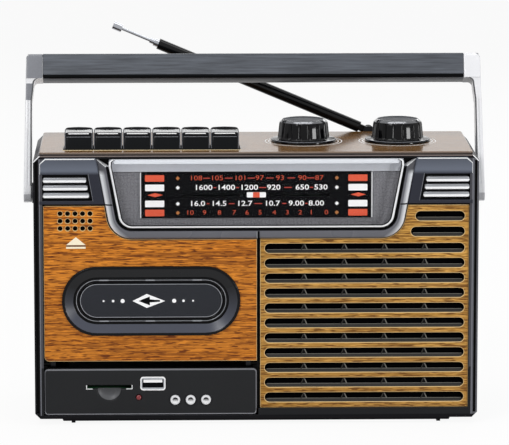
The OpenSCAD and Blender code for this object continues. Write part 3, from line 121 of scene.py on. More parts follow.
class Paint(Graph):
    """A node material with short names for the nodes that it is wired from."""

    def __init__(self, name, color, rough, **sockets):
        self.name = name
        self.mat = bpy.data.materials.new(name)
        super().__init__(self.mat)
        self.shader = self.tree.nodes["Principled BSDF"]
        self.coord = self.node("ShaderNodeTexCoord")
        sockets = {"Base_Color": color, "Roughness": rough, **sockets}
        self.feed(self.shader, {key.replace("_", " "): value for key, value in sockets.items()})

    def wire(self, source, socket):
        self.feed(self.shader, {socket: source})

    def place(self, scale=(1, 1, 1)):
        """Object coordinates, stretched."""
        mapping = self.node("ShaderNodeMapping")
        self.feed(mapping, {"Vector": self.coord.outputs["Object"], "Scale": scale})
        return mapping.outputs["Vector"]

    def noise(self, scale, detail, rough=0.5, twist=0.0):
        tex = self.node("ShaderNodeTexNoise")
        self.feed(tex, {"Vector": self.place(scale), "Scale": 1.0, "Detail": detail, "Roughness": rough,
                        "Distortion": twist})
        return tex.outputs["Fac"]

    def span(self, value, low, high, to_low=0.0, to_high=1.0):
        """Maps a value from one range to another, held at both ends."""
        made = self.node("ShaderNodeMapRange")
        keys = ("Value", "From Min", "From Max", "To Min", "To Max")
        self.feed(made, dict(zip(keys, (value, low, high, to_low, to_high))))
        return made.outputs["Result"]

    def mix(self, factor, a, b):
        made = self.node("ShaderNodeMix", data_type="RGBA")
        self.feed(made, {0: factor, 6: a, 7: b})
        return made.outputs[2]

    def bump(self, height, strength, depth):
        made = self.node("ShaderNodeBump")
        self.feed(made, {"Strength": strength, "Distance": depth * MM, "Height": height})
        self.wire(made.outputs["Normal"], "Normal")

    def part(self, output, axis):
        split = self.node("ShaderNodeSeparateXYZ")
        self.feed(split, {"Vector": self.coord.outputs[output]})
        return split.outputs[axis]

    def facing(self, axis, sign, low=0.55, high=0.75):
        """1 where the surface faces along an axis of the object, 0 elsewhere."""
        return self.span(self.part("Normal", axis), sign * low, sign * high)

    def off(self, axis, middle=0.0):
        """Distance of a coordinate from a middle place."""
        return self.math("ABSOLUTE", self.math("SUBTRACT", self.part("Object", axis), middle * MM))

    def ramp(self, place, low, high, *to):
        """0 to 1 or other values while an axis or a distance runs from low to high, in millimetres."""
        value = self.part("Object", place) if isinstance(place, str) else place
        return self.span(value, low * MM, high * MM, *to)


def plastic(name, color, rough, grain=0.9, vary=0.12, relief=0.03, gloss=0.3, tint=None, **sockets):
    """Moulded plastic: faint cloudy tone, fine spark texture, uneven gloss; tint adds further tones, painted
    light among them.
    """
    color = srgb(*color)
    p = Paint(name, color, rough, Specular_IOR_Level=gloss, **sockets)
    cloud = p.noise((18, 18, 18), 4, 0.6)
    fine = p.noise((1000 / grain,) * 3, 2)
    blend = p.math("ADD", p.both(cloud, 0.6), p.both(fine, 0.4))
    tone = p.mix(p.span(blend, 0.3, 0.7), shade(color, 1 - vary), shade(color, 1 + vary))
    p.wire(tint(p, tone, color) if tint else tone, "Base Color")
    p.wire(p.span(cloud, 0.3, 0.7, rough * 0.88, min(1, rough * 1.12)), "Roughness")
    if relief:
        p.bump(fine, 0.5, relief)
    return p


def smooth(name, color, rough, vary=0.1, **sockets):
    """Plastic or ink without a texture to feel."""
    return plastic(name, color, rough, vary=vary, relief=0, **sockets)


def media_tint(p, tone, color):
    """The media panel's rounded outer edges carry a painted pale highlight, brightest along the bottom."""
    edge_light = srgb(118, 119, 124)
    rim = p.math("MAXIMUM", p.ramp(p.off("X", -61.2), 59.7, 60.2), p.ramp(p.off("Z", 19.0), 11.7, 12.2))
    edge = p.both(rim, p.facing("Y", -1, 0.985, 0.92))
    # Painted highlight: pale on the edge bevels, brighter still along the bottom
    return p.mix(edge, tone, p.mix(p.ramp("Z", 7.2, 7.8), shade(edge_light, 2.6), edge_light))


def shoulder_tint(p, tone, color):
    """A shoulder's face is dark beside and below the bars; above them a painted reflection makes it grow
    paler from its top down to the bars.
    """
    # Painted reflection: paler towards the bars, darker near the top
    upper = p.mix(p.ramp("Z", 154.5, 149.5), shade(color, 0.85), shade(color, 1.3))
    return p.mix(p.ramp("Z", 146.2, 148.4), srgb(36, 38, 48), upper)


def frame_tint(p, tone, color):
    """Painted light on the frame's front: highlights on its pale inner rims, a band shadowed on the left, and
    gap shade at top and bottom; behind the front it is painted black as shade.
    """
    front = p.facing("Y", -1)
    away = p.off("X")
    # Painted shadow: the band is dark on the left and grey on the right
    band = p.mix(p.ramp("X", -1, 1), srgb(17, 17, 20), srgb(86, 87, 92))
    lines = p.math("MAXIMUM", p.ramp("Z", 155.1, 155.4), p.ramp("Z", 5.6, 5.3))
    tone = p.mix(p.ramp(away, 127.6, 127.8), tone, srgb(62, 63, 67))
    # Darker low down, the pale inner rim as a painted highlight, the band, dark lines painted as gap shade,
    # and a brownish strip on top
    for mask, other in ((p.ramp("Z", 33.5, 33.2), srgb(30, 31, 33)),
                        (p.ramp(away, 124.1, 124.3), srgb(112, 113, 120)),
                        (p.ramp(away, 124.7, 124.9), band),
                        (lines, srgb(14, 14, 17)),
                        (p.ramp("Z", 156.4, 156.7), srgb(118, 108, 104))):
        tone = p.mix(p.both(mask, front), tone, other)
    # Painted shade: what lies behind the front is black
    inside = p.both(p.ramp("Y", -45.7, -45.0), p.ramp(away, 127.6, 127.2))
    level = p.both(p.ramp("Z", 4.1, 4.5), p.ramp("Z", 156.6, 156.2))
    return p.mix(p.both(inside, level), tone, srgb(9, 9, 10))


def brushed(name, color, rough, stretch, metal=1.0, vary=0.1, **sockets):
    """Metal or lacquer with hairlines that run along the short axis of stretch."""
    color = srgb(*color)
    p = Paint(name, color, rough, Metallic=metal, **sockets)
    lines = p.noise(stretch, 3, 0.6)
    p.wire(p.mix(p.span(lines, 0.25, 0.75), shade(color, 1 - vary), shade(color, 1 + vary)), "Base Color")
    p.wire(p.span(lines, 0.3, 0.7, rough * 0.8, min(1, rough * 1.25)), "Roughness")
    p.bump(lines, 0.25, 0.01)
    return p


def wood(name, light, mid, dark, wall, rim, up=False, gloss=0.2):
    """Printed wood grain that runs along X: short dark dashes and pale ones on a drifting ground.

    The print covers the shown face, its edges and upward walls get a painted highlight, and other cut walls
    are bare plastic.
    """
    light, mid, dark, wall, rim = [srgb(*c) for c in (light, mid, dark, wall, rim)]
    p = Paint(name, mid, 0.4, Specular_IOR_Level=gloss)
    axis, sign = ("Z", 1) if up else ("Y", -1)

    def grain(x, across, detail, rough=0.5, twist=0.1):
        return p.noise((x, across, x) if up else (x, x, across), detail, rough, twist)

    dashes = grain(130, 1350, 2)
    tone = p.mix(p.span(grain(9, 70, 4, 0.55, 0.5), 0.36, 0.64), mid, light)
    tone = p.mix(p.span(grain(14, 320, 4, 0.6, 0.4), 0.44, 0.70, 0.0, 0.3), tone, dark)
    tone = p.mix(p.span(grain(130, 1200, 2), 0.53, 0.60, 0.0, 0.8), tone, shade(light, 1.25))
    tone = p.mix(p.span(grain(34, 1250, 3), 0.50, 0.60, 0.0, 0.6), tone, dark)
    tone = p.mix(p.span(dashes, 0.54, 0.60, 0.0, 0.9), tone, dark)
    # Painted shade: darker towards the bottom
    tone = p.mix(p.ramp("Z", 30, 130, 0.22, 0.0), tone, dark)
    # Painted highlight: the rounded edges are pale
    shown = p.mix(p.facing(axis, sign, 0.93, 0.985), rim, tone)
    # Painted highlight: walls that face up are pale too
    if not up:
        wall = p.mix(p.facing("Z", 1, 0.5, 0.7), wall, shade(rim, 0.8))
    p.wire(p.mix(p.facing(axis, sign, 0.25, 0.4), wall, shown), "Base Color")
    p.wire(p.span(dashes, 0.4, 0.7, *((0.13, 0.19) if up else (0.34, 0.48))), "Roughness")
    p.bump(dashes, 0.12, 0.02)
    return p


def clear(name, tint, low, high):
    """Clear plastic: see-through, with gloss that grows towards its edges."""
    p = Paint(name, srgb(*tint), 0.04, Alpha=low)
    p.wire(p.span(p.noise((60, 60, 60), 2), 0.3, 0.7, 0.02, 0.07), "Roughness")
    edge = p.node("ShaderNodeLayerWeight")
    p.feed(edge, {"Blend": 0.5})
    p.wire(p.span(p.math("POWER", edge.outputs["Facing"], 4.0), 0.0, 1.0, low, high), "Alpha")
    return p


def silver_flank(name, bright, dull):
    """Lacquered round strip whose tone is painted light: a painted highlight on its flanks, duller where it
    turns down, darker near its upper ends.
    """
    bright, dull = srgb(*bright), srgb(*dull)
    p = Paint(name, bright, 0.28, Specular_IOR_Level=0.4)
    side = p.math("ABSOLUTE", p.part("Normal", "X"))
    haze = p.noise((30, 30, 30), 3)
    tone = p.mix(p.span(haze, 0.3, 0.7), shade(bright, 0.94), bright)
    tone = p.mix(p.span(side, 0.08, 0.6), dull, tone)
    p.wire(p.mix(p.ramp("Z", 146.2, 149.2), tone, shade(dull, 0.55)), "Base Color")
    p.wire(p.span(haze, 0.3, 0.7, 0.24, 0.34), "Roughness")
    return p


def graded(name, low, high, rough):
    """Dark plastic of a hollow whose upward faces are painted a lighter grey, as painted light from above."""
    low, high = srgb(*low), srgb(*high)
    p = Paint(name, low, rough, Specular_IOR_Level=0.25)
    haze = p.noise((40, 40, 40), 3)
    up = p.math("ADD", p.part("Normal", "Z"), p.both(haze, 0.05))
    p.wire(p.mix(p.span(up, -0.2, 0.36), low, high), "Base Color")
    p.wire(p.span(haze, 0.3, 0.7, rough * 0.85, rough * 1.15), "Roughness")
    return p


def dotted_panel(name, color):
    """Mid grey panel with a fine raised dot pattern, beside the dial plate."""
    color = srgb(*color)
    p = Paint(name, color, 0.5, Specular_IOR_Level=0.2)
    cells = p.node("ShaderNodeTexVoronoi", feature="F1", distance="EUCLIDEAN")
    p.feed(cells, {"Vector": p.place(), "Scale": 1250, "Randomness": 0.3})
    dots = p.span(cells.outputs["Distance"], 0.1, 0.6)
    p.wire(p.mix(dots, shade(color, 1.45), shade(color, 0.5)), "Base Color")
    p.bump(dots, 0.4, 0.08)
    return p


# Bare plastic of cut walls, and the painted pale highlight on the wood's edges
EDGE_GREY = (52, 48, 44)
CREAM_HIGHLIGHT = (226, 194, 138)
PAINTS = {paint.name: paint for paint in (
    plastic("charcoal_plastic", (70, 70, 75), 0.42, gloss=0.08, tint=frame_tint),
    plastic("rear_plastic", (48, 49, 54), 0.5, grain=1.3, relief=0.06),
    plastic("shoulder_plastic", (84, 89, 100), 0.36, vary=0.08, gloss=0.2, tint=shoulder_tint),
    plastic("bezel_plastic", (80, 80, 87), 0.34, vary=0.06),
    silver_flank("bezel_flank", (226, 229, 233), (92, 93, 100)),
    smooth("black_gloss", (10, 11, 13), 0.16, gloss=0.12),
    graded("oval_slope", (15, 16, 19), (68, 71, 82), 0.24),
    graded("bowl", (30, 30, 32), (84, 85, 88), 0.4),
    graded("button_dish", (28, 28, 30), (228, 229, 231), 0.4),
    plastic("label_foil", (164, 166, 170), 0.4, vary=0.06, relief=0.01),
    smooth("dash_grey", (150, 152, 158), 0.3),
    smooth("key_black", (10, 12, 15), 0.2, gloss=0.1),
    smooth("key_top", (72, 74, 78), 0.16, Metallic=1.0, Coat_Weight=1.0, Coat_IOR=1.8, Coat_Roughness=0.1),
    # key_side is a painted grey highlight on key sides and beads, knob brims and a shoulder bevel, and
    # painted shade under the handle's caps
    smooth("key_side", (120, 122, 128), 0.3),
    smooth("knob_black", (4, 4, 6), 0.08, gloss=0.16),
    smooth("knob_dish", (58, 60, 65), 0.55, gloss=0.12),
    plastic("dial_print", (6, 6, 8), 0.5, vary=0.08, relief=0.01, gloss=0.02),
    plastic("media_black", (30, 31, 33), 0.4, gloss=0.15, tint=media_tint),
    plastic("silver_plastic", (224, 225, 228), 0.3, vary=0.04, relief=0.01, gloss=0.5),
    # The arms' silver plastic painted grey at their feet: painted shade
    plastic("arm_foot", (178, 179, 183), 0.45),
    smooth("line_grey", (66, 67, 70), 0.4, vary=0.12),
    plastic("dark_plastic", (26, 27, 30), 0.5, gloss=0.15),
    plastic("field_black", (9, 9, 11), 0.5, gloss=0.08),
    # Near-black sheet behind the slots: painted shade
    plastic("cloth_black", (5, 5, 6), 0.95, grain=0.6, vary=0.2, relief=0.05, gloss=0.0),
    plastic("sill_grey", (50, 49, 47), 0.6, grain=0.7, vary=0.25, gloss=0.15),
    # Painted highlight on the sills' edges and the right halves of the rib feet
    plastic("sill_edge", (116, 114, 108), 0.5, vary=0.1),
    plastic("ivory_plastic", (214, 208, 190), 0.45, vary=0.05),
    smooth("red_plastic", (124, 18, 26), 0.12, vary=0.08, gloss=0.6),
    plastic("black_rubber", (28, 28, 29), 0.75, grain=0.6),
    plastic("speaker_paper", (22, 22, 24), 0.9, grain=0.4, vary=0.25, relief=0.1, gloss=0.1),
    plastic("iron_core", (112, 106, 98), 0.55, grain=0.5, vary=0.2),
    plastic("circuit_board", (40, 92, 58), 0.4, grain=0.7, vary=0.3),
    plastic("white_cord", (216, 210, 194), 0.8, grain=0.3, vary=0.2),
    brushed("steel", (176, 179, 184), 0.32, (900, 60, 60)),
    brushed("motor_case", (160, 164, 170), 0.35, (60, 900, 60)),
    brushed("brass_parts", (196, 164, 92), 0.3, (300, 300, 300)),
    brushed("speaker_metal", (60, 61, 64), 0.45, (200, 200, 200)),
    brushed("bar_grey", (150, 152, 157), 0.3, (20, 900, 900), metal=0.3, vary=0.16),
    # bar_white is a painted highlight on the bars, the bezel's upper ends, the keys' upper beads and the
    # frame's corners
    brushed("bar_white", (238, 239, 241), 0.25, (20, 900, 900), metal=0.0, vary=0.03),
    brushed("antenna_bright", (168, 170, 175), 0.16, (40, 500, 500), vary=0.06),
    brushed("antenna_black", (8, 8, 10), 0.14, (40, 500, 500), metal=0.0, Specular_IOR_Level=0.2),
    brushed("grip_plastic", (75, 79, 86), 0.36, (45, 900, 900), metal=0.0, vary=0.4,
            Specular_IOR_Level=0.3),
    wood("door_wood", (212, 132, 42), (192, 112, 24), (88, 34, 0), EDGE_GREY, CREAM_HIGHLIGHT),
    wood("grille_wood", (198, 150, 76), (180, 132, 55), (96, 56, 10), EDGE_GREY, CREAM_HIGHLIGHT),
    wood("top_wood", (134, 98, 56), (120, 86, 46), (92, 63, 32), (76, 66, 60), (112, 94, 80), up=True,
         gloss=0.31),
    clear("clear_lens", (225, 230, 236), 0.003, 0.8),
    smooth("smoked_pane", (34, 37, 44), 0.12, vary=0.08, gloss=0.25, Alpha=0.88),
    smooth("white_ink", (248, 248, 249), 0.5, vary=0.02),
    smooth("cream_ink", (244, 232, 204), 0.5, vary=0.04),
    smooth("sign_brown", (96, 56, 18), 0.5, vary=0.2),
    smooth("orange_ink", (222, 88, 58), 0.5, vary=0.05),
    smooth("red_ink", (178, 62, 50), 0.5),
    smooth("amber_ink", (184, 116, 60), 0.5),
    smooth("black_ink", (8, 9, 11), 0.4, gloss=0.04),
    smooth("silver_ink", (226, 227, 228), 0.3, vary=0.05),
    smooth("gold_ink", (222, 204, 164), 0.3, vary=0.08),
    plastic("pale_panel", (188, 191, 198), 0.5, vary=0.05, relief=0.01),
    # Painted highlight: a pale sheen on the lens's top bevel
    smooth("lens_top_sheen", (226, 230, 236), 0.25, vary=0.03, Alpha=0.72),
    dotted_panel("dial_floor", (124, 124, 129)),
)}


# Outlines

def arc(cx, cy, r, a0, a1, n=8):
    out = []
    for i in range(n + 1):
        a = math.radians(a0 + (a1 - a0) * i / n)
        out.append((cx + r * math.cos(a), cy + r * math.sin(a)))
    return out


def round_rect(x0, y0, x1, y1, r, n=6):
    return (arc(x1 - r, y0 + r, r, -90, 0, n) + arc(x1 - r, y1 - r, r, 0, 90, n)
            + arc(x0 + r, y1 - r, r, 90, 180, n) + arc(x0 + r, y0 + r, r, 180, 270, n))


def circle(cx, cy, r, n=32):
    return arc(cx, cy, r, 0, 360 * (n - 1) / n, n - 1)


def stadium(cx, cy, half, r, n=20):
    """Oval of two half circles whose centres lie half to each side."""
    return arc(cx + half, cy, r, -90, 90, n) + arc(cx - half, cy, r, 90, 270, n)


def around(middle, half_w, half_h):
    """Corners of a box round a place."""
    return (middle[0] - half_w, middle[1] - half_h, middle[0] + half_w, middle[1] + half_h)


def grown(box, d):
    """Corners of a box that is grown by d all round."""
    return (box[0] - d, box[1] - d, box[2] + d, box[3] + d)


def u_line(form, inset, drop, across, down):
    """Open line down one slanting side of the dial, round both lower corners and up the other side.

    It is drawn in by inset, and its top is lowered by drop. It stops short of the top by down, and where
    across is given it is cut back to the top by that much.
    """
    top_w, bottom_w, low, r = form[0] - 2 * inset, form[1] - 2 * inset, form[2] + inset, form[3] - inset
    top = DIAL_TOP - drop
    run = (top_w - bottom_w) / 2
    slant = math.hypot(run, top - low)
    nx, nz = (top - low) / slant, -run / slant
    cx = bottom_w / 2 - r * (1 + nz) / nx
    right = arc(cx, low + r, r, -90, math.degrees(math.atan2(nz, nx)), 14)
    right.append((top_w / 2 - down * run / (top - low), top - down))
    if across:
        right += [(top_w / 2 - across * 0.35, top - down * 0.3), (top_w / 2 - across, top)]
    return [(-x, z) for x, z in reversed(right)] + right


def bezel_line(inset):
    return u_line(BEZEL, inset, 0, 0, inset)


def lens_line(inset, drop=0.0, across=2.6, down=3.6):
    return u_line(LENS, inset, drop, across, down)


def window_line(r):
    return stadium(*WINDOW, WINDOW_LEN / 2, r)


def at_depth(line, y):
    return [(x, y, z) for x, z in line]


def leaning(points):
    """Turns points drawn upright about the handle's pivot into the leaning handle."""
    c, s = math.cos(LEAN), math.sin(LEAN)
    return [(x, PIVOT[0] + y * c + z * s, PIVOT[1] - y * s + z * c) for x, y, z in points]


# Meshes

def linked(name, data):
    """A new object in the scene."""
    made = bpy.data.objects.new(name, data)
    SCENE.collection.objects.link(made)
    return made


def soften(piece, width):
    """Rounds the sharp edges of a piece without changing its own mesh."""
    assign(piece.modifiers.new("round", "BEVEL"), width=width * MM, segments=2, limit_method="ANGLE",
           angle_limit=math.radians(40), use_clamp_overlap=True, harden_normals=True)


def weighted(piece):
    assign(piece.modifiers.new("flat", "WEIGHTED_NORMAL"), keep_sharp=True)


def quads(a, b, closed):
    """Corners of the faces between two rows of points."""
    n = len(a)
    steps = [(i, (i + 1) % n) for i in range(n if closed else n - 1)]
    return [(a[i], a[j], b[j], b[i]) for i, j in steps]


def repaint(faces, mat):
    for f in faces:
        f.material_index = mat


class Shape:
    """A mesh in the making, in millimetres. last holds the faces that were added last."""

    def __init__(self):
        self.bm = bmesh.new()
        self.last = []

    def add(self, corners, mat):
        self.last = [self.bm.faces.new(c) for c in corners]
        repaint(self.last, mat)
        return self

    def add_mesh(self, mesh):
        self.bm.from_mesh(mesh)
        bpy.data.meshes.remove(mesh)
        repaint(self.bm.faces, 0)
        return self

    def loft(self, rows, ring=False, closed=True, mat=0):
        """Skins rows of points; ring joins the last row to the first, closed joins each row's ends."""
        made = [[self.bm.verts.new(p) for p in row] for row in rows]
        corners = []
        for a, b in zip(made, made[1:] + (made[:1] if ring else [])):
            corners += quads(a, b, closed)
        if not ring:
            corners += [made[0], made[-1]]
        elif not closed:
            corners += [[row[k] for row in made] for k in (0, -1)]
        return self.add(corners, mat)

    def prism(self, outline, axis, low, high, mat=0):
        """Extrudes a closed outline along an axis: (y, z) along x, (x, z) along y, (x, y) along z."""
        k = "xyz".index(axis)
        a, b = [[self.bm.verts.new((*p[:k], t, *p[k:])) for p in outline] for t in (low, high)]
        return self.add([a, b] + quads(a, b, True), mat)

    def block(self, low, high, mat=0):
        corners = [(low[0], low[2]), (high[0], low[2]), (high[0], high[2]), (low[0], high[2])]
        return self.prism(corners, "y", low[1], high[1], mat)

    def turned(self, middle, section, n=40):
        """A piece turned about an axis along Y: radius and depth, from the front to the back."""
        return self.loft([at_depth(circle(*middle, r, n), y) for r, y in section])

    def flat(self, outline, y, mat=0):
        """A printed shape on a front surface."""
        return self.add([[self.bm.verts.new(p) for p in at_depth(outline, y)]], mat)

    def mark(self, test, mat):
        """Gives another material to the last faces that pass a test of their centre and normal."""
        for f in self.last:
            f.normal_update()
            if test(f.calc_center_median(), f.normal):
                f.material_index = mat
        return self

    def mesh(self, name):
        """The shape as a mesh in metres, which ends the shape."""
        bmesh.ops.recalc_face_normals(self.bm, faces=self.bm.faces)
        mesh = bpy.data.meshes.new(name)
        self.bm.to_mesh(mesh)
        self.bm.free()
        mesh.transform(Matrix.Scale(MM, 4))
        return mesh

    def make(self, name, paints, slot=None, body="cabinet", sharp=35.0, bevel=0.0):
        """Makes a piece that rides on a body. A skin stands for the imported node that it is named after."""
        paints = [paints] if isinstance(paints, str) else paints
        bmesh.ops.remove_doubles(self.bm, verts=self.bm.verts, dist=1e-4)
        mesh = self.mesh(name)
        piece = linked(name, mesh)
        for paint in paints:
            mesh.materials.append(PAINTS[paint].mat)
        mesh.shade_smooth()
        mesh.set_sharp_from_angle(angle=math.radians(sharp))
        if bevel:
            soften(piece, bevel)
        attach(piece, body)
        node = name.removesuffix("_skin")
        if node != name:
            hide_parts(node)
        return piece


def mesh_of(holder):
    """The mesh that an object makes with its modifiers; the object itself is taken away."""
    bpy.context.view_layer.update()
    mesh = bpy.data.meshes.new_from_object(holder.evaluated_get(bpy.context.evaluated_depsgraph_get()))
    bpy.data.objects.remove(holder)
    return mesh


def upright(stretch, x, y, z):
    """Stands a drawing up on the front with its origin at a place, stretched sideways."""
    return Matrix(((stretch, 0, 0, x), (0, 0, -1, y), (0, 1, 0, z), (0, 0, 0, 1)))


def plate(name, paint, outlines, back, face, edge, axis="y", steps=3, slot=None, body="cabinet"):
    """A flat panel with holes and rounded edges. The first outline is its rim, the others are holes."""
    curve = assign(bpy.data.curves.new(name, "CURVE"), dimensions="2D", fill_mode="BOTH", offset=-edge,
                   extrude=abs(back - face) / 2 - edge, bevel_depth=edge, bevel_resolution=steps)
    for outline in outlines:
        spline = curve.splines.new("POLY")
        spline.points.add(len(outline) - 1)
        for point, (a, b) in zip(spline.points, outline):
            point.co = (a, b, 0, 1)
        spline.use_cyclic_u = True
    mesh = mesh_of(linked(name + "_curve", curve))
    middle = (back + face) / 2
    mesh.transform(upright(1, 0, middle, 0) if axis == "y" else Matrix.Translation((0, 0, middle)))
    weighted(Shape().add_mesh(mesh).make(name, paint, slot, body, sharp=50))


def aimed(name, data, place, way):
    """A camera or lamp at a place, which looks along a way."""
    return assign(linked(name, data), location=place * MM, rotation_mode="QUATERNION",
                  rotation_quaternion=way.to_track_quat("-Z", "Y"))


# Camera: the fit of the photograph's viewpoint
AZIMUTH, ELEVATION, DISTANCE = math.radians(-1.42), math.radians(9.08), 2178.0
TARGET = Vector((-1.1, -46.0, 118.2))
FOCAL_PX, FRAME_PX, SENSOR = 3790.0, 509.0, 36.0
back_way = Vector((math.sin(AZIMUTH) * math.cos(ELEVATION), -math.cos(AZIMUTH) * math.cos(ELEVATION),
                   math.sin(ELEVATION)))
camera = assign(bpy.data.cameras.new("camera"), sensor_width=SENSOR, lens=FOCAL_PX * SENSOR / FRAME_PX)
SCENE.camera = aimed("camera", camera, TARGET + back_way * DISTANCE, -back_way)


# Rear cabinet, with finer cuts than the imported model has

def carved(node, cuts):
    """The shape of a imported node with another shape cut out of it."""
    cutter = linked(node + "_cuts", cuts.mesh(node + "_cuts"))
    whole = linked(node + "_whole", NODES[node].data.copy())
    assign(whole.modifiers.new("cut", "BOOLEAN"), operation="DIFFERENCE", solver="EXACT", object=cutter)
    shape = Shape().add_mesh(mesh_of(whole))
    bpy.data.objects.remove(cutter)
    bm = shape.bm
    bmesh.ops.scale(bm, verts=bm.verts, vec=(1 / MM, 1 / MM, 1 / MM))
    bmesh.ops.remove_doubles(bm, verts=bm.verts, dist=1e-3)
    bmesh.ops.dissolve_degenerate(bm, dist=1e-3, edges=bm.edges)
    bmesh.ops.dissolve_limit(bm, angle_limit=math.radians(1), verts=bm.verts, edges=bm.edges)
    bmesh.ops.triangulate(bm, faces=[f for f in bm.faces if len(f.verts) > 4])
    return shape


def cut_corners(x0, z0, x1, z1, c):
    return [(x0 + c, z0), (x1 - c, z0), (x1, z0 + c), (x1, z1 - c), (x1 - c, z1), (x0 + c, z1), (x0, z1 - c),
            (x0, z0 + c)]


# Boxes on the rear, and the one round the switches on the right side
LABEL = (20.0, 14.0, 82.0, 44.0)
BATTERY = (-108.0, 10.5, 4.0, 65.5)
INLET = (87.5, 20.0, 112.5, 39.0)
SWITCHES = (11.5, 43.5, 32.5, 96.5)
VENT_X, VENT_Z, VENT_PITCH, VENT_COUNT = 62, 84, 5.4, 9
cuts = Shape()
for x in (-VENT_X, VENT_X):
    for i in range(VENT_COUNT):
        cuts.prism(stadium(x, VENT_Z + VENT_PITCH * i, 29, 1.25, 8), "y", REAR_Y - 1.6, REAR_Y + 1)
for box, r, depth in ((LABEL, 2, 0.5), (grown(BATTERY, 3), 2.5, 0.6), (INLET, 2, 0.6)):
    cuts.prism(round_rect(*box, r, 5), "y", REAR_Y - depth, REAR_Y + 1)
cuts.prism(round_rect(*SWITCHES, 3, 5), "x", HALF_W - 0.6, HALF_W + 1)
# Groove where the two halves of the cabinet meet
outer = cut_corners(-131, 3.2, 131, 160, 3)
inner = cut_corners(-HALF_W + 0.7, 4.2, HALF_W - 0.7, 156.5, 3)
low, high = PART_Y - 0.1, PART_Y + 0.9
groove = ((outer, low), (outer, high), (inner, high), (inner, low))
cuts.loft([at_depth(line, y) for line, y in groove], ring=True)
weighted(carved("rear_cabinet", cuts).make("rear_cabinet_skin", "rear_plastic", sharp=30, bevel=0.3))

# The battery door is a backing with tongues and a face with a thumb notch, grip lines and an arrow
door = round_rect(*grown(BATTERY, -0.3), 1.2, 4)
holes = [round_rect(-60, 59.5, -44, 62.5, 0.6, 3), [(-57, 34), (-47, 34), (-52, 29.5)]]
holes += [stadium(-52, 38.5 + 2.6 * i, 15, 0.65, 6) for i in range(6)]
plate("battery_door_skin", "rear_plastic", [door] + holes, REAR_Y - 0.9, REAR_Y, 0.2, body="battery_door")
shape = Shape().prism(door, "y", REAR_Y - 2.1, REAR_Y - 0.8)
for x in (BATTERY[0] + 14, BATTERY[2] - 22):
    shape.block((x, REAR_Y - 7.4, BATTERY[1] + 0.3), (x + 8, REAR_Y - 1.4, BATTERY[1] + 1.9))
shape.make("battery_door_back", "rear_plastic", body="battery_door")

label = round_rect(*grown(LABEL, -0.6), 1.5, 5)
shape = Shape().prism(label, "y", REAR_Y - 0.6, REAR_Y - 0.2)
shape.make("blank_label", "label_foil", "rear_plastic", bevel=0.08)


# Wood panels

def slot_line(x0, x1, z):
    return stadium((x0 + x1) / 2, z, (x1 - x0 - SLOT_H) / 2, SLOT_H / 2, 10)


def bite_line(span, gap):
    """The stretch of the bezel's outline that dips into a panel, from right to left."""
    return [(x, z) for x, z in bezel_line(-gap)[::-1] if span[0] < x < span[1] and z < DOOR_Z[1]]


# Where the bezel's side crosses the panels' upper edge
BITE_X = 87.3
# Ends and height of each slot's middle line
SLOT_H, SLOT_PITCH, SLOT_END = 5.5, 8.74, 120.05
SLOTS = [(4.8, SLOT_END, 15.5 + SLOT_PITCH * i) for i in range(11)]
SLOTS += [(89.05, SLOT_END, 112.4), (91.65, SLOT_END, 121.5)]
bite = bite_line(SPEAKER_X, 0.4)
grille = [(SPEAKER_X[0], SPEAKER_Z[0]), (SPEAKER_X[1], SPEAKER_Z[0]), (SPEAKER_X[1], SPEAKER_Z[1])]
grille += [(BITE_X, SPEAKER_Z[1])] + bite + [(SPEAKER_X[0], bite[-1][1])]
holes = [slot_line(*slot) for slot in SLOTS]
plate("speaker_panel_skin", "grille_wood", [grille] + holes, PANEL_BACK, PANEL_Y, 0.45)

# Sloped sills in the slots, with a painted highlight along their edges, and the feet of the ribs that show in
# the long ones, painted pale on the right as a highlight
RIB_X = [62.425 + 23.2 * (i - 1.5) for i in range(4)]
shape = Shape()
for x0, x1, z in SLOTS:
    low = z - SLOT_H / 2
    sill = [(-44.5, low - 0.3), (-44.4, low + 0.15), (-42.85, low + 1.7), (-42.45, low + 1.7),
            (-42.45, low - 0.3)]
    edge = [(-42.95, low + 1.6), (-42.9, low + 1.78), (-42.5, low + 1.82), (-42.5, low + 1.6)]
    shape.prism(sill, "x", x0 + 0.7, x1 - 0.7)
    shape.prism(edge, "x", x0 + 1.2, x1 - 1.2, 1)
    for x in RIB_X if x0 < RIB_X[0] else ():
        for s, mat in ((-1, 0), (1, 1)):
            foot = [(x, z + 1.9), (x + s * 0.55, z + 1.9), (x + s * 2.0, low + 1.6), (x + s * 1.4, low + 1.6)]
            shape.prism(foot, "y", -43.0, -42.45, mat)
shape.make("slot_sills", ["sill_grey", "sill_edge"], "charcoal_plastic")

# Black sheet behind the slots, painted shade for the dark inside them
left, right, low = SPEAKER_X[0] + 1, SPEAKER_X[1] - 1, SPEAKER_Z[0] + 1
cloth = [(left, low), (right, low), (right, 127.0), (89.0, 127.0), (86.0, 108.0), (left, 108.0)]
Shape().prism(cloth, "y", -42.42, -42.2).make("grille_shade_sheet", "cloth_black", "charcoal_plastic")

bite = bite_line(DOOR_X, 0.6)
door = arc(DOOR_X[0] + 3.2, DOOR_Z[0] + 3, 3, 180, 270) + [(DOOR_X[1], DOOR_Z[0]), (DOOR_X[1], bite[0][1])]
door += bite + [(-BITE_X, DOOR_Z[1]), (DOOR_X[0] + 0.2, DOOR_Z[1])]
MIC, MIC_PITCH, MIC_R = (-112.75, 123.5), 4.3, 1.4
holes = [window_line(18.25)]
for i in range(5):
    holes += [circle(MIC[0] + MIC_PITCH * i, MIC[1] - MIC_PITCH * j, MIC_R, 20) for j in range(3)]
plate("door_panel_skin", "door_wood", [door] + holes, PANEL_BACK, PANEL_Y, 0.4, body="cassette_door")

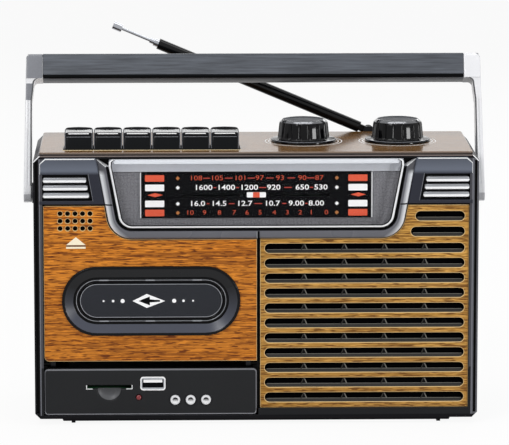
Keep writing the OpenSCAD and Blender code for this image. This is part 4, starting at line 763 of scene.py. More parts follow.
cover = round_rect(-124.7, -45.4, 124.7, 42, 2.5)
well = round_rect(-110.6, -35.75, -9.3, -15.0, 0.8, 3)
bores = [circle(x, KNOB_Y, 3.05) for x in (TUNING_X, VOLUME_X)]
plate("top_cover_skin", "top_wood", [cover, well] + bores, 157.2, TOP_Z, 0.85, axis="z")


# Dial: the bezel is a round strip whose upper ends slant down to the lens
ROUND_STEPS = (0.0, 0.05, 0.14, 0.28, 0.46, 0.68, 1.0)


def bezel_row(t, lift=0.0):
    """A line of the round strip, from its outer edge at 0 to the groove round the lens at 1."""
    y = -46.3 - 2.2 * math.sqrt(1 - (1 - t) ** 2) - lift
    return [(a + (b - a) * t, y, c + (d - c) * t)
            for (a, c), (b, d) in zip(bezel_line(0.2), lens_line(-2.0, 0, 0, 4.2))]


rows = [at_depth(bezel_line(0), y) for y in (-40.6, -46.0)] + [bezel_row(t) for t in ROUND_STEPS]
rows += [at_depth(lens_line(d, 0, 0, 4.2), y) for d, y in (
    (-1.7, -48.35), (-1.6, -48.0), (-1.6, -46.6), (-0.1, -46.5), (-0.1, -42.9))]
shape = Shape().loft(rows, ring=True, closed=False)
# The round strip, the groove beside the lens and the two upper ends have paints of their own: painted light
# on the strip, a painted highlight on the ends
strip = len(rows[0]) - 1
repaint(shape.last[2 * strip:8 * strip], 1)
repaint(shape.last[9 * strip:13 * strip], 2)
repaint(shape.last[-2:], 3)
shape.make("dial_bezel_skin", ["bezel_plastic", "bezel_flank", "black_ink", "bar_white"])

# Seams that cross the strip: between door and grille, and below each shoulder
shape = Shape()
shape.block((0.5, -48.53, 109.4), (1.8, -47.5, 113.6))
shape.block((0.15, -48.55, 109.4), (0.5, -47.5, 113.6), 1)
inward = Vector((0, 0.6, 0))
for end, below in ((0, 1), (-1, -2)):
    seam = []
    for t in ROUND_STEPS:
        row = bezel_row(t, 0.05)
        top, low = Vector(row[end]), Vector(row[below])
        a, b = [top.lerp(low, (top.z - z) / (top.z - low.z)) for z in (128.6, 129.4)]
        seam.append([a, b, b + inward, a + inward])
    shape.loft(seam)
shape.make("bezel_seam", ["black_ink", "dash_grey"], "bezel_plastic")

pointer_slot = round_rect(-46, 132.6, 46, 135.4, 0.3, 2)
plate("dial_floor", "dial_floor", [lens_line(-0.1), pointer_slot], -40.8, -43.0, 0.1, steps=1,
      slot="bezel_plastic")

# Lip along the upper edge of the pointer's slot, pale header above the plate and bright strips at its ends
Shape().block((-47, -43.2, 134.25), (47, -42.7, 136.0)).make("pointer_slot_lip", "dial_print")
header = [(-82.6, 147.6), (82.6, 147.6), (84.6, 154.9), (-84.6, 154.9)]
Shape().prism(header, "y", -44.3, -42.9).make("dial_header", "pale_panel", "bezel_plastic", bevel=0.2)
shape = Shape()
for x in (-66.5, 66.5):
    shape.block((x - 0.28, -44.3, 120.8), (x + 0.28, -42.9, 147.2))
shape.make("dial_plate_ends", "bar_white", "bright_trim", bevel=0.15)

LENS_STEPS = [(0.0, -46.4), (0.0, -47.9), (0.35, -48.8), (0.95, -49.45), (1.7, -49.85), (2.6, -50.0)]
shape = Shape().loft([at_depth(lens_line(d, 1.35 * d), y) for d, y in LENS_STEPS])
# Painted highlight: the lens's upward faces and top bevel get the pale sheen
shape.mark(lambda c, n: n.z > 0.3 or c.z > 151.2 and c.y > -49.99 and abs(n.y) < 0.95, 1)
shape.make("dial_lens_skin", ["clear_lens", "lens_top_sheen"], sharp=60)

# Bright wire round the lens, and a dark line inside it
WIRE = ((0.15, -48.3), (0.15, -48.9), (0.5, -49.35), (0.95, -49.6), (1.25, -49.5), (1.2, -49.0))
DARK_LINE = ((1.3, -49.4), (1.3, -49.75), (1.55, -49.86), (1.8, -49.9), (1.8, -49.5))
for name, paint, slot, section in (("lens_rim", "bar_white", "bright_trim", WIRE),
                                   ("lens_shadow_line", "black_ink", "bezel_plastic", DARK_LINE)):
    shape = Shape().loft([at_depth(lens_line(d), y) for d, y in section], ring=True, closed=False)
    shape.make(name, paint, slot, sharp=60)


def diamond(x, z, half_w, half_h):
    return [(x - half_w, z), (x, z - half_h), (x + half_w, z), (x, z + half_h)]


PRINT_Y = -43.86
DIGIT_STRETCH = 1.26


def digits(text, x, z, size, weight):
    """The mesh of flat digits, centred on a place of the dial plate."""
    curve = assign(bpy.data.curves.new("digits", "FONT"), body=text, size=size, align_x="CENTER",
                   align_y="CENTER", offset=weight, resolution_u=3)
    mesh = mesh_of(linked("digits", curve))
    mesh.transform(upright(DIGIT_STRETCH, x, PRINT_Y, z))
    return mesh


# Rows of plain numbers: ink, height, text height and each number's place
SCALES = [
    (1, 143.7, 4.0, [("108", -34.7), ("105", -22.6), ("101", -9.1), ("97", 1.9), ("93", 13.7), ("90", 26.4),
                     ("87", 36.2)]),
    (0, 138.2, 4.2, [("1600", -30.4), ("1400", -17.4), ("1200", -4.2), ("920", 10.0), ("650", 26.4),
                     ("530", 37.1)]),
    (0, 128.9, 4.2, [("16.0", -33.9), ("14.5", -21.5), ("12.7", -6.8), ("10.7", 9.1), ("9.00", 23.0),
                     ("8.00", 34.5)]),
    (1, 123.6, 3.8, [("10", -38.2), ("9", -29.8), ("8", -21.2), ("7", -12.8), ("6", -5.3), ("5", 2.2),
                     ("4", 10.3), ("3", 17.8), ("2", 25.3), ("1", 31.6), ("0", 40.3)]),
]
inks = [Shape() for k in range(4)]
for ink, z, size, row in SCALES:
    for text, x in row:
        inks[ink].add_mesh(digits(text, x, z, size, -0.05 if ink else 0.05))
    # A dash between numbers, but not in the row of single ones
    for (text_a, a), (text_b, b) in zip(row, row[1:]) if len(row) < 10 else ():
        left, right = a + size * 0.34 * len(text_a), b - size * 0.34 * len(text_b)
        reach = max(0.8, min(2.2, (right - left) / 2))
        inks[2].flat(round_rect(*around(((left + right) / 2, z), reach, 0.26), 0.2, 2), PRINT_Y)
    for x in (-45.1, 46.3):
        inks[3 if ink else 0].flat(diamond(x, z, 1.2, 1.2), PRINT_Y)
    # Plain plates at both ends of the row
    for x in (-58.4, 58.4):
        inks[ink].flat(round_rect(*around((x, z), 5.5, 1.9), 0.4, 2), PRINT_Y)
for x in (-58.1, 58.6):
    inks[1].flat(diamond(x, 134.0, 4.4, 1.2), PRINT_Y)
for shape, name, paint in zip(inks, ("numbers_white", "numbers_orange", "dashes", "diamonds"),
                              ("white_ink", "orange_ink", "red_ink", "amber_ink")):
    shape.make("dial_" + name, paint, "dial_print")

shape = Shape().prism(round_rect(-5.5, 132.6, 5.5, 135.6, 0.5, 3), "y", -45.0, -44.2)
shape.prism(round_rect(-1.9, 132.6, 1.9, 135.6, 0.1, 1), "y", -45.1, -44.6, 1)
shape.block((-1.5, -44.4, 132.9), (1.5, -38.0, 134.15))
shape.block((-3, -38.2, 132.1), (3, -36.4, 136.1))
shape.make("dial_pointer_skin", ["white_ink", "orange_ink"], "red_plastic", "dial_pointer")

# Shoulder panels, which reach to the strip beside the dial, and their bars
SLANT = (BEZEL[0] - BEZEL[1]) / 2 / (DIAL_TOP - BEZEL[2])
SHOULDER_X = 122.45
SHOULDER_Z = (129.0, DIAL_TOP)
FIELD_Z = (131.05, 146.25)
FIELD_X = (SHOULDER_X - 25.7 - SLANT * (FIELD_Z[1] - FIELD_Z[0]), SHOULDER_X - 25.7)
# Cut of a shoulder's outer corner, and how far its face laps over the frame, sideways and upwards
CUT, FLANGE = 3.1, (1.95, 0.7)
# Depth of a shoulder's rows, how far each is drawn in, and its flange
SHOULDER_STEPS = ((-40.6, 0, 0, 0, (0, 0)), (-46.02, 0, 0, 0, (0, 0)), (-46.02, 0, 0, 0),
                  (-46.1, 0.1, 0.1, 0), (-46.25, 0.3, 0.4, 0.12), (-46.45, 0.6, 0.95, 0.4))
BAR_HALF, BAR_PITCH, BAR_BACK = 1.45, 4.45, -43.7


def shoulder_row(s, y, inner, top, rim, flange=FLANGE):
    """Outline of a shoulder at a depth, drawn in beside the dial, along its top and round the rest."""
    def beside(z):
        return 83.5 + SLANT * (z - BEZEL[2]) + inner

    low, high = SHOULDER_Z
    x, z = SHOULDER_X + flange[0] - rim, high + flange[1]
    line = [(beside(low), low + rim), (x, low + rim), (x, FIELD_Z[0] - rim),
            (FIELD_X[0] - rim, FIELD_Z[0] - rim), (FIELD_X[1] - rim, FIELD_Z[1] + rim), (x, FIELD_Z[1] + rim),
            (x, z - CUT - rim), (x - CUT, z - top), (beside(high) + 0.5, z - top),
            (beside(high - 1), z - 1 - top * 0.5)]
    return [(s * x, y, z) for x, z in line]


def bar_section(z):
    """Section of a bar: a round below, painted bright as a highlight, and a grey one above it."""
    line = [(BAR_BACK, z + BAR_HALF), (BAR_BACK, z - BAR_HALF)] + arc(-45.9, z - 0.75, 0.7, 270, 165, 6)
    line += [(-46.5, z - 0.1), (-46.15, z + 0.05), (-46.2, z + 0.3)]
    return line + arc(-45.6, z + 0.95, 0.5, 200, 90, 5)


shoulders, fields, bars = Shape(), Shape(), Shape()
for s in (-1, 1):
    rows = [shoulder_row(s, *step) for step in SHOULDER_STEPS]
    shoulders.loft(rows)
    # Painted highlights: silver on the bevels along the top, grey on the one beside the bars
    bevels = shoulders.last[4 * len(rows[0]):]
    repaint(bevels[5:8], 1)
    repaint(bevels[3:4], 2)
    field = [(FIELD_X[0], FIELD_Z[0]), (SHOULDER_X + 0.1, FIELD_Z[0]), (SHOULDER_X + 0.1, FIELD_Z[1]),
             (FIELD_X[1], FIELD_Z[1])]
    fields.prism([(s * x, z) for x, z in field], "y", -43.8, -40.8)
    for i in range(3):
        z = 134.2 + BAR_PITCH * i
        start = SHOULDER_X - 24.8 - SLANT * BAR_PITCH * (2 - i)
        rows = []
        for x, k in ((start, 0.55), (start + 0.25, 0.8), (start + 0.7, 1.0), (SHOULDER_X - 0.7, 1.0),
                     (SHOULDER_X - 0.25, 0.8), (SHOULDER_X, 0.55)):
            rows.append([(s * x, BAR_BACK + (y - BAR_BACK) * (0.6 + 0.4 * k), z + (q - z) * k)
                         for y, q in bar_section(z)])
        # Painted highlight: the lower round of each bar is bright
        bars.loft(rows).mark(lambda c, n: c.z < z, 1)
shoulders.make("shoulder_panels_skin", ["shoulder_plastic", "silver_ink", "key_side"], sharp=25)
fields.make("shoulder_fields", "field_black", "shoulder_plastic", bevel=0.1)
bars.make("shoulder_bars_skin", ["bar_grey", "bar_white"], "bright_trim", sharp=50)

# Painted highlight along the frame's upper corner edges
shape = Shape()
for s in (-1, 1):
    line = [(s * 127.8, 153.2), (s * 127.8, 154.0), (s * 124.8, 157.0), (s * 124.0, 157.0)]
    shape.prism(line, "y", -46.06, -45.6)
shape.make("frame_corner_lines", "bar_white", "charcoal_plastic")


# Cassette door: oval window bezel, raised pane with marks, and the eject sign

def oval_rows(section):
    return [at_depth(window_line(r), y) for r, y in section]


# Radius and depth, from the outer edge over the slope to the ridges round the pane
OVAL = [(18.1, -45.0), (20.25, -45.0), (20.25, -45.75), (20.1, -46.05), (19.75, -46.25), (19.3, -46.3),
        (18.9, -46.15), (18.6, -45.95), (13.75, -44.15), (13.4, -43.95), (13.25, -43.6), (13.1, -43.4),
        (12.35, -43.4), (12.2, -43.75), (11.95, -43.85), (11.7, -43.75), (11.55, -43.4), (10.95, -43.4),
        (10.8, -43.7), (10.6, -43.8), (10.4, -43.7), (10.3, -43.4), (9.95, -43.3), (9.95, -42.5),
        (18.1, -42.5)]
# Step of the slope, and radius of the outer ridge
OVAL_SLOPE, RIDGE_R = 7, 11.95
shape = Shape().loft(oval_rows(OVAL), ring=True)
strip = len(window_line(RIDGE_R))
# The slope is painted paler where it faces up: painted light
repaint(shape.last[OVAL_SLOPE * strip:(OVAL_SLOPE + 1) * strip], 1)
shape.make("window_bezel_skin", ["black_gloss", "oval_slope"], body="cassette_door", sharp=40)

# Light dashes on the ridge round the pane
shape = Shape()
for x in (-87.8, -61.2, -34.1):
    for z in (WINDOW[1] - RIDGE_R, WINDOW[1] + RIDGE_R):
        shape.prism(round_rect(*around((x, z), 2.8, 0.3), 0.28, 3), "y", -44.0, -43.6)
shape.make("window_dashes", "dash_grey", "black_gloss", "cassette_door")

PANE = [(17.8, -41.3), (17.8, -42.4), (9.7, -42.45), (9.7, -44.1), (9.55, -44.3), (9.25, -44.4)]
Shape().loft(oval_rows(PANE)).make("window_pane_skin", "smoked_pane", body="cassette_door", sharp=50)
shape = Shape()
for r, y in ((9.6, -44.5), (RIDGE_R, -43.95)):
    ridge = ((0.16, 0.6), (0.16, 0.1), (0, 0), (-0.16, 0.1), (-0.16, 0.6))
    shape.loft(oval_rows([(r + a, y + b) for a, b in ridge]), ring=True)
shape.make("pane_rim", "dash_grey", "smoked_pane", "cassette_door", sharp=50)

# An arrow in a diamond, and dots that grow towards it
MARK, MARK_Y = (-62.0, 72.4), -44.45
DIAMOND = [(-9.4, 0), (-1.2, -4.1), (9.4, -0.1), (-1.2, 4.1)]
ARROW = [(-6.0, 0), (0.6, -2.6), (0.6, -0.9), (6.4, -0.5), (6.4, 0.5), (0.6, 0.9), (0.6, 2.6)]
shape = Shape()
for mat, line in enumerate((DIAMOND, ARROW)):
    shape.flat([(MARK[0] + x, MARK[1] + z) for x, z in line], MARK_Y - 0.03 * mat, mat)
for x, r in ((-88.1, 0.55), (-82.6, 0.75), (-77.1, 1.2), (-47.4, 1.2), (-42.0, 0.75), (-36.5, 0.55)):
    shape.flat(circle(x, MARK[1], r, 20), MARK_Y)
shape.make("window_marks", ["white_ink", "black_ink"], "smoked_pane", "cassette_door")

SIGN_X = (-109.4, -98.2)
shape = Shape().flat([(SIGN_X[0], 105.3), (SIGN_X[1], 105.3), (-103.8, 109.9)], PANEL_Y - 0.04)
for z0, z1, lift, mat in ((103.2, 104.3, 0.04, 0), (104.35, 105.25, 0.03, 1)):
    shape.flat([(SIGN_X[0], z0), (SIGN_X[1], z0), (SIGN_X[1], z1), (SIGN_X[0], z1)], PANEL_Y - lift, mat)
shape.make("eject_sign", ["cream_ink", "sign_brown"], "door_wood", "cassette_door")

# Media panel with card slot, thumb recess and USB frame, its lamp and buttons
BUTTONS = [("next_button", -46.95), ("previous_button", -38.05), ("pause_button", -29.15)]
BUTTON_Z = 14.3
CARD = (-85.05, 21.1)
CARD_HALF, CARD_H, THUMB_R = 12.9, 1.8, 6.8
USB, USB_HALF = (-59.85, 23.9), (7.3, 4.0)
LED = (-68.05, 15.7)
left, right, high = CARD[0] - CARD_HALF, CARD[0] + CARD_HALF, CARD[1] + CARD_H
panel = round_rect(DOOR_X[0], MEDIA_Z[0], DOOR_X[1], MEDIA_Z[1], 2.2, 5)
card = arc(*CARD, THUMB_R, 180, 360, 18) + [(right, CARD[1]), (right, high), (left, high), (left, CARD[1])]
holes = [card, round_rect(*around(USB, *USB_HALF), 1.8, 5), circle(*LED, 1.55, 24)]
holes += [circle(x, BUTTON_Z, 2.95, 32) for name, x in BUTTONS]
plate("media_panel_skin", "media_black", [panel] + holes, PANEL_BACK, PANEL_Y, 0.95, slot="charcoal_plastic")

BOWL = [(THUMB_R, -44.5), (6.2, -44.0), (5.2, -43.4), (3.8, -43.0), (2.0, -42.8), (0.4, -42.75), (0.4, -42.5),
        (THUMB_R, -42.5)]
# The bowl is painted paler where it faces up: painted light
rows = [at_depth(arc(*CARD, r, 180, 360, 18), y) for r, y in BOWL]
Shape().loft(rows, ring=True, closed=False).make("thumb_recess", "bowl", "charcoal_plastic", sharp=60)

shape = Shape()
for s in (-1, 1):
    end = CARD[0] + s * CARD_HALF
    for x, z0, z1 in ((end, CARD[1] - 0.1, high + 0.2), (end - s * 3.2, CARD[1] - 0.45, CARD[1] - 0.05)):
        shape.block((min(x, end + s * 0.5), -45.12, z0), (max(x, end + s * 0.5), -44.3, z1))
shape.make("card_slot_brackets", "silver_ink", "charcoal_plastic")

USB_RIM = [(0.0, -44.4), (0.0, -45.2), (0.15, -45.4), (0.5, -45.4), (0.65, -45.2), (0.65, -44.4)]
rows = [at_depth(round_rect(*grown(around(USB, *USB_HALF), -d), 1.7 - d * 0.6, 5), y) for d, y in USB_RIM]
Shape().loft(rows, ring=True).make("usb_frame", "white_ink", "steel", sharp=50)
tongue = round_rect(*around((USB[0], USB[1] + 1.45), 5.5, 0.9), 0.3, 3)
Shape().prism(tongue, "y", -44.75, -43.2).make("usb_tongue", "white_ink", "steel", bevel=0.12)
inside = round_rect(*around(USB, 6.6, 3.4), 1.2, 4)
Shape().prism(inside, "y", -44.3, -43.6).make("usb_inside", "black_ink", "steel")

# Radius and depth from the dished front to the stem
BUTTON = [(0.3, -45.5), (0.9, -45.55), (1.6, -46.05), (1.85, -46.2), (2.3, -46.2), (2.65, -46.0),
          (2.85, -45.5), (2.88, -44.8), (2.88, -42.1), (3.35, -42.1), (3.35, -41.2), (1.4, -41.2),
          (1.4, -39.8)]
COLLAR = [(3.0, -44.6), (3.0, -45.2), (3.2, -45.3), (3.6, -45.28), (3.8, -45.1), (3.8, -44.6)]
LAMP = [(0.2, -45.75), (0.7, -45.7), (1.15, -45.5), (1.42, -45.2), (1.48, -44.6), (1.48, -42.4), (1.9, -42.4),
        (1.9, -41.0)]
BUTTON_SIDES = 40
for name, x in BUTTONS:
    shape = Shape().turned((x, BUTTON_Z), BUTTON, BUTTON_SIDES)
    # The dish is painted dark where it faces down and pale where it faces up: painted shade and light
    repaint(shape.last[:2 * BUTTON_SIDES] + shape.last[-2:-1], 1)
    shape.make(name + "_skin", ["silver_plastic", "button_dish"], body=name)
    Shape().turned((x, BUTTON_Z), COLLAR).make(name + "_collar", "dark_plastic", "charcoal_plastic")
Shape().turned(LED, LAMP, 28).make("power_led_skin", "red_plastic")

# Piano keys: a front lip, a shallow dish and a raised ridge at the rear
KEYS = ["record_key", "play_key", "rewind_key", "forward_key", "stop_key", "pause_key"]
KEY_X, KEY_PITCH, KEY_W = -110.2, 16.85, 16.25
SHAFT = (18.0, 149.0)
KEY_TOP, KEY_REAR, KEY_LIP = 169.3, -15.4, 168.7
# Places in the key's profile where the dish lies
DISH = (17, 18, 19)
# Steps across a key, and how far its profile is drawn in at each
KEY_STEPS = [(0.0, 1.5), (0.15, 0.9), (0.5, 0.4), (1.1, 0.1), (1.8, 0.0), (4.5, 0.0)]
KEY_STEPS += [(KEY_W / 2, 0.0)] + [(KEY_W - a, d) for a, d in reversed(KEY_STEPS)]


def key_front(z):
    return SHAFT[0] - math.sqrt(53.35 ** 2 - (z - SHAFT[1]) ** 2)


def key_profile(crown):
    lip = key_front(KEY_LIP - 1.1) + 1.1
    ridge = KEY_TOP + crown
    line = [(key_front(150 + 1.95 * k), 150 + 1.95 * k) for k in range(10)]
    line += arc(lip, KEY_LIP - 1.1, 1.1, 172, 80, 6)
    line += [(lip + 0.9, KEY_LIP - 0.4), (lip + 4.0, KEY_LIP - 0.3), (KEY_REAR - 5.0, KEY_LIP + 0.05),
             (KEY_REAR - 2.6, KEY_LIP + 0.3), (KEY_REAR - 2.3, ridge - 0.3), (KEY_REAR - 1.8, ridge - 0.06),
             (KEY_REAR - 1.2, ridge)]
    line += arc(KEY_REAR - 0.9, ridge - 0.95, 0.9, 75, 0, 4) + [(KEY_REAR, 158.0), (KEY_REAR, 150.0)]
    return line


def shrunk(line, d):
    """The key's profile, drawn in by d where it stands above the cover."""
    out = []
    n = len(line)
    for i, (y, z) in enumerate(line):
        a, b = line[i - 1], line[(i + 1) % n]
        ty, tz = b[0] - a[0], b[1] - a[1]
        size = math.hypot(ty, tz) or 1.0
        k = d * min(1.0, max(0.0, (z - 156) / 4))
        out.append((y + k * tz / size, z - k * ty / size))
    return out


def bead(shape, x0, x1, z, r, mat):
    """A fine raised line across a key's front."""
    ends = ((x0, 0.3), (x0 + 0.4, 1.0), (x1 - 0.4, 1.0), (x1, 0.3))
    shape.loft([[(x, *p) for p in circle(key_front(z) + r * 0.4, z, r * k, 10)] for x, k in ends], mat=mat)


for i, name in enumerate(KEYS):
    x0 = KEY_X + KEY_PITCH * i
    x1 = x0 + KEY_W
    middle = (x0 + x1) / 2
    rows = []
    for a, d in KEY_STEPS:
        crown = 0.45 * math.sin(math.pi * a / KEY_W) + 0.25
        rows.append([(x0 + a, *p) for p in shrunk(key_profile(crown), d)])
    shape = Shape().loft(rows)
    repaint([f for k, f in enumerate(shape.last) if k % len(rows[0]) in DISH], 1)
    # Painted highlights: grey on the sides above the cover and on the lower bead, white on the upper bead
    shape.mark(lambda c, n: c.z > TOP_Z and abs(n.x) > 0.6 and x0 < c.x < x1, 3)
    bead(shape, x0 + 2.0, x1 - 2.0, 168.0, 0.36, 2)
    bead(shape, x0 + 1.2, x1 - 1.2, 166.2, 0.16, 3)
    shape.block((middle - 4, KEY_REAR - 6, 147.5), (middle + 4, SHAFT[0] - 2, 151.5))
    sleeve = ((middle - 4.5, 4.0), (middle + 4.5, 4.0), (middle + 4.5, 1.55), (middle - 4.5, 1.55))
    shape.loft([[(x, *p) for p in circle(*SHAFT, r)] for x, r in sleeve], ring=True)
    paints = ["key_black", "key_top", "bar_white", "key_side"]
    shape.make(name + "_skin", paints, "black_gloss", name, sharp=22)

# Pale line along the front of the key well
line = round_rect(-111.4, -36.75, -8.5, -35.7, 0.4, 3)
Shape().prism(line, "z", 158.6, 159.15).make("key_well_line", "gold_ink", "bright_trim", bevel=0.12)

# Knobs with flat lands between narrow flutes, and the printed rings under them
FLUTES, FLUTE_POINTS = 16, 16
FLUTE_STEP = 2 * math.pi / FLUTES


def knob_row(x, r, z, flute):
    """One level of a knob, with a land towards the front."""
    row = []
    for k in range(FLUTES * FLUTE_POINTS):
        a = FLUTE_STEP * (k + 0.5) / FLUTE_POINTS
        off = (k + 0.5) / FLUTE_POINTS % 1 - 0.5
        dip = flute * (0.5 - 0.5 * math.cos(2 * math.pi * off)) ** 6
        if flute:
            dip += r * (1 - math.cos(math.pi / FLUTES) / math.cos(off * FLUTE_STEP))
        a += FLUTE_STEP / 2
        row.append((x + (r - dip) * math.cos(a), KNOB_Y + (r - dip) * math.sin(a), z))
    return row


# Radius, height and depth of the flutes, from the stem up over the brim to the dished top
KNOB = [(3.0, 152.0, 0), (3.0, 159.3, 0), (18.6, 159.3, 0), (19.0, 159.5, 0), (19.0, 160.3, 0),
        (18.8, 160.6, 0), (18.4, 160.75, 0), (15.9, 160.95, 0), (15.45, 161.1, 0), (15.3, 161.6, 0.6),
        (15.25, 162.4, 1.0), (14.5, 169.6, 1.0), (14.2, 170.4, 0.5), (13.8, 170.75, 0), (12.35, 172.1, 0),
        (12.1, 172.2, 0), (11.8, 172.15, 0), (11.2, 171.7, 0), (9.5, 171.3, 0), (5.0, 171.15, 0),
        (0.4, 171.1, 0)]
# Levels of the knob's surface where other paints begin; the brim's level is a painted grey highlight
KNOB_RIM, KNOB_BRIM, KNOB_DISH = 13, 5, 16
for name, body, x, low in (("tuning_knob", "tuning", TUNING_X, 127.9),
                           ("volume_knob", "volume_knob", VOLUME_X, 151.1)):
    shape = Shape().loft([knob_row(x, r, z if k else low, flute) for k, (r, z, flute) in enumerate(KNOB)])
    strip = FLUTES * FLUTE_POINTS
    repaint(shape.last[KNOB_BRIM * strip:(KNOB_BRIM + 1) * strip], 3)
    repaint(shape.last[KNOB_RIM * strip:KNOB_DISH * strip], 1)
    repaint(shape.last[KNOB_DISH * strip:], 2)
    paints = ["knob_black", "key_top", "knob_dish", "key_side"]
    shape.make(name + "_skin", paints, "black_gloss", body, sharp=50)
shape = Shape()
for x in (TUNING_X, VOLUME_X):
    for r in (20.4, 22.4):
        section = ((r - 0.25, 158.95), (r - 0.25, 159.04), (r + 0.25, 159.04), (r + 0.25, 158.95))
        shape.loft([[(*p, z) for p in circle(x, KNOB_Y, q, 96)] for q, z in section], ring=True)
shape.make("knob_rings", "silver_ink", "top_wood")

# Handle: arms with corner caps, and the grip with its dark band
GRIP_X, GRIP_Z, GRIP_HALF = 123.9, (67.7, 82.7), 6.25
ARM_X, ARM_TAPER = (130.4, 135.0), 1.1
# Radius of an arm's foot, of its cap's corners and of its edges; middle and half width of its groove
FOOT_R, CAP_R, EDGE_R = 5.5, 3.0, 0.9
GROOVE_X, GROOVE_HALF = 132.4, 0.45


def arm_section(inner, outer, half, notch):
    """Section of an arm from front to back, with a groove down its front face."""
    r = min(EDGE_R, half * 0.6, (outer - inner) * 0.4)
    line = arc(inner + r, -half + r, r, 180, 270, 5)
    for k, depth in ((-1, 0), (-0.5, notch), (0.5, notch), (1, 0)):
        line.append((GROOVE_X + GROOVE_HALF * k, -half + depth))
    line += arc(outer - r, -half + r, r, 270, 360, 5)
    return line + arc(outer - r, half - r, r, 0, 90, 5) + arc(inner + r, half - r, r, 90, 180, 5)


def arm_rows():
    """Inner and outer edge, half depth, height and groove of an arm's sections, from the foot to the cap."""
    top = GRIP_Z[1] - CAP_R

    def outer(z):
        return ARM_X[1] - ARM_TAPER * max(0.0, min(1.0, z / top))

    rows = []
    for k in range(9):
        z = -FOOT_R * math.cos(math.radians(11.25 * k))
        half = max(1.3, math.sqrt(max(0.0, FOOT_R ** 2 - z ** 2)))
        rows.append((ARM_X[0], outer(z), half, z, 0.0))
    for z, notch in ((3.0, 0), (3.6, 0.5), (30, 0.5), (54, 0.5), (54.6, 0)):
        rows.append((ARM_X[0], outer(z), FOOT_R, z, notch))
    rows.append((129.8, outer(60), 5.6, 59.7, 0.0))
    turn = arc(0, 0, CAP_R, 0, 90, 6)
    for k, (x, z) in enumerate(turn):
        rows.append((129.3 - CAP_R + x, outer(64.7 + z), 5.6 + 0.65 * k / 6, 64.7 + z, 0.0))
    rows += [(GRIP_X, outer(z), GRIP_HALF, z, 0.0) for z in (GRIP_Z[0], 75)]
    for x, z in turn:
        rows.append((GRIP_X, outer(top) - CAP_R + x, GRIP_HALF - 1.2 + 0.4 * x, top + z, 0.0))
    return rows


# Rows at the foot of an arm, and height of its cap above the pivot
FOOT_ROWS, CAP_Z = 6, 55
for s, side in ((-1, "left"), (1, "right")):
    rows = arm_rows()
    skin = [leaning([(s * x, y, z) for x, y in arm_section(inner, out, half, notch)])
            for inner, out, half, z, notch in rows]
    shape = Shape().loft(skin)
    # Painted shade: the foot is painted grey, and so are the faces that look down under the cap
    repaint(shape.last[:FOOT_ROWS * len(skin[0])], 1)
    shape.mark(lambda c, n: c.z > PIVOT[1] + CAP_Z and n.z < -0.3, 2)
    paints = ["silver_plastic", "arm_foot", "key_side"]
    shape.make("handle_arm_%s_skin" % side, paints, body="handle", sharp=40)
    # Dark line along the inner edge of the arm, round under its cap
    line = []
    for inner, out, half, z, notch in rows:
        if 2.0 < z < GRIP_Z[0] - 0.1:
            line.append(leaning([(s * (inner + x), y - half, z)
                                 for x, y in ((-0.04, 0.5), (-0.04, -0.06), (0.75, -0.06), (0.75, 0.5))]))
    Shape().loft(line).make("handle_arm_%s_line" % side, "line_grey", "silver_plastic", "handle")
    disc = ((134.9, 4.6), (135.0, 4.2), (135.0, 3.4), (134.7, 3.1), (134.7, 0.4))
    rows = [leaning([(s * x, *p) for p in circle(0, 0, r)]) for x, r in disc]
    Shape().loft(rows).make("handle_pivot_%s" % side, "pale_panel", "silver_plastic", "handle")

grip = (arc(5.05, 68.9, 1.2, -90, 0, 5) + arc(5.05, 81.5, 1.2, 0, 90, 5) + arc(-5.35, 81.8, 0.9, 90, 180, 5)
        + [(-6.25, 70.0), (-5.9, 69.8), (-5.9, 68.6), (-5.4, 67.9), (-4.9, 67.7)])
band = [(-5.8, 69.75), (-6.2, 69.75), (-6.25, 69.5), (-6.1, 68.5), (-5.55, 67.85), (-5.3, 67.95),
        (-5.75, 68.6)]
END_X = GRIP_X - 0.02
for name, paint, line, places in (("handle_grip_skin", "grip_plastic", grip, (-END_X, -60, 0, 60, END_X)),
                                  ("handle_grip_band", "black_ink", band, (-END_X, 0, END_X))):
    rows = [leaning([(x, *p) for p in line]) for x in places]
    Shape().loft(rows).make(name, paint, "grip_plastic", "handle", sharp=30)

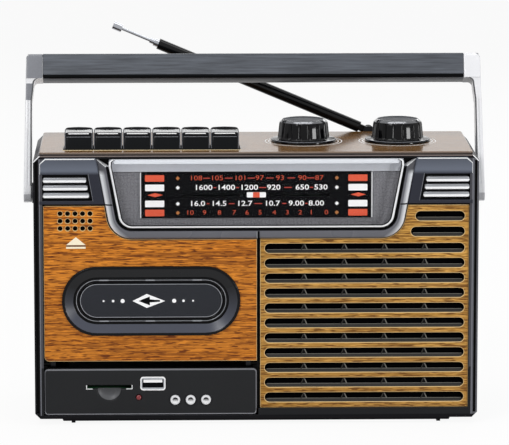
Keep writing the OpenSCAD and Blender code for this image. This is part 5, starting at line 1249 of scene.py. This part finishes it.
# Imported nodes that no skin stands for: painted after their slot, but for three. Some get rounded edges.
OTHER_PAINT = {"antenna_bracket": "dark_plastic", "battery_box": "rear_plastic", "usb_socket": "steel"}
ROUNDING = {"front_cabinet": 0.35, "band_switch": 0.25, "function_switch": 0.25, "power_inlet": 0.25}
for part in frame["record"]["subparts"]:
    name = part["node"]
    if name + "_skin" not in bpy.data.objects:
        NODES[name].data.materials[0] = PAINTS[OTHER_PAINT.get(name, part["material_slot"])].mat
for name, width in ROUNDING.items():
    soften(NODES[name], width)

# Lights, floor and surroundings
AIM = Vector((0, 0, 90))
for name, place, wide, high, power in (("key", (-700, -1100, 1100), 0.5, 0.5, 9),
                                       ("fill", (1025, -872, 300), 0.18, 0.32, 5),
                                       ("top", (0, -100, 1400), 1.2, 0.6, 7),
                                       ("back", (300, 1200, 900), 1.0, 0.6, 5)):
    lamp = assign(bpy.data.lights.new(name, "AREA"), shape="RECTANGLE", size=wide, size_y=high, energy=power)
    aimed(name, lamp, Vector(place), AIM - Vector(place))


def seen_white(graph, kind, share, light, output):
    """Mixes a share of white into a light shader for the camera, for gloss and for rays through glass."""
    path = graph.node("ShaderNodeLightPath")
    seen = path.outputs["Is Camera Ray"]
    for extra in ("Is Glossy Ray", "Is Transmission Ray"):
        seen = graph.math("MAXIMUM", seen, path.outputs[extra])
    white = graph.node(kind)
    graph.feed(white, {"Color": (1, 1, 1, 1), "Strength": 1.0})
    blend = graph.node("ShaderNodeMixShader")
    graph.feed(blend, {0: graph.both(seen, share), 1: light.outputs[0], 2: white.outputs[0]})
    graph.feed(graph.tree.nodes[output], {"Surface": blend.outputs[0]})


SCENE.world = bpy.data.worlds.new("world")
sky = Graph(SCENE.world)
plain = sky.tree.nodes["Background"]
sky.feed(plain, {"Color": (1, 1, 1, 1), "Strength": 0.4})
seen_white(sky, "ShaderNodeBackground", 1.0, plain, "World Output")

floor_mesh = bpy.data.meshes.new("floor")
floor_mesh.from_pydata([(-9, -9, 0), (9, -9, 0), (9, 9, 0), (-9, 9, 0)], [], [(0, 1, 2, 3)])
floor = linked("floor", floor_mesh)
floor_paint = Paint("floor", (0.82, 0.82, 0.82, 1), 1.0, Specular_IOR_Level=0.0)
seen_white(floor_paint, "ShaderNodeEmission", 0.92, floor_paint.shader, "Material Output")
floor_mesh.materials.append(floor_paint.mat)

SCENE.view_settings.view_transform = "Standard"
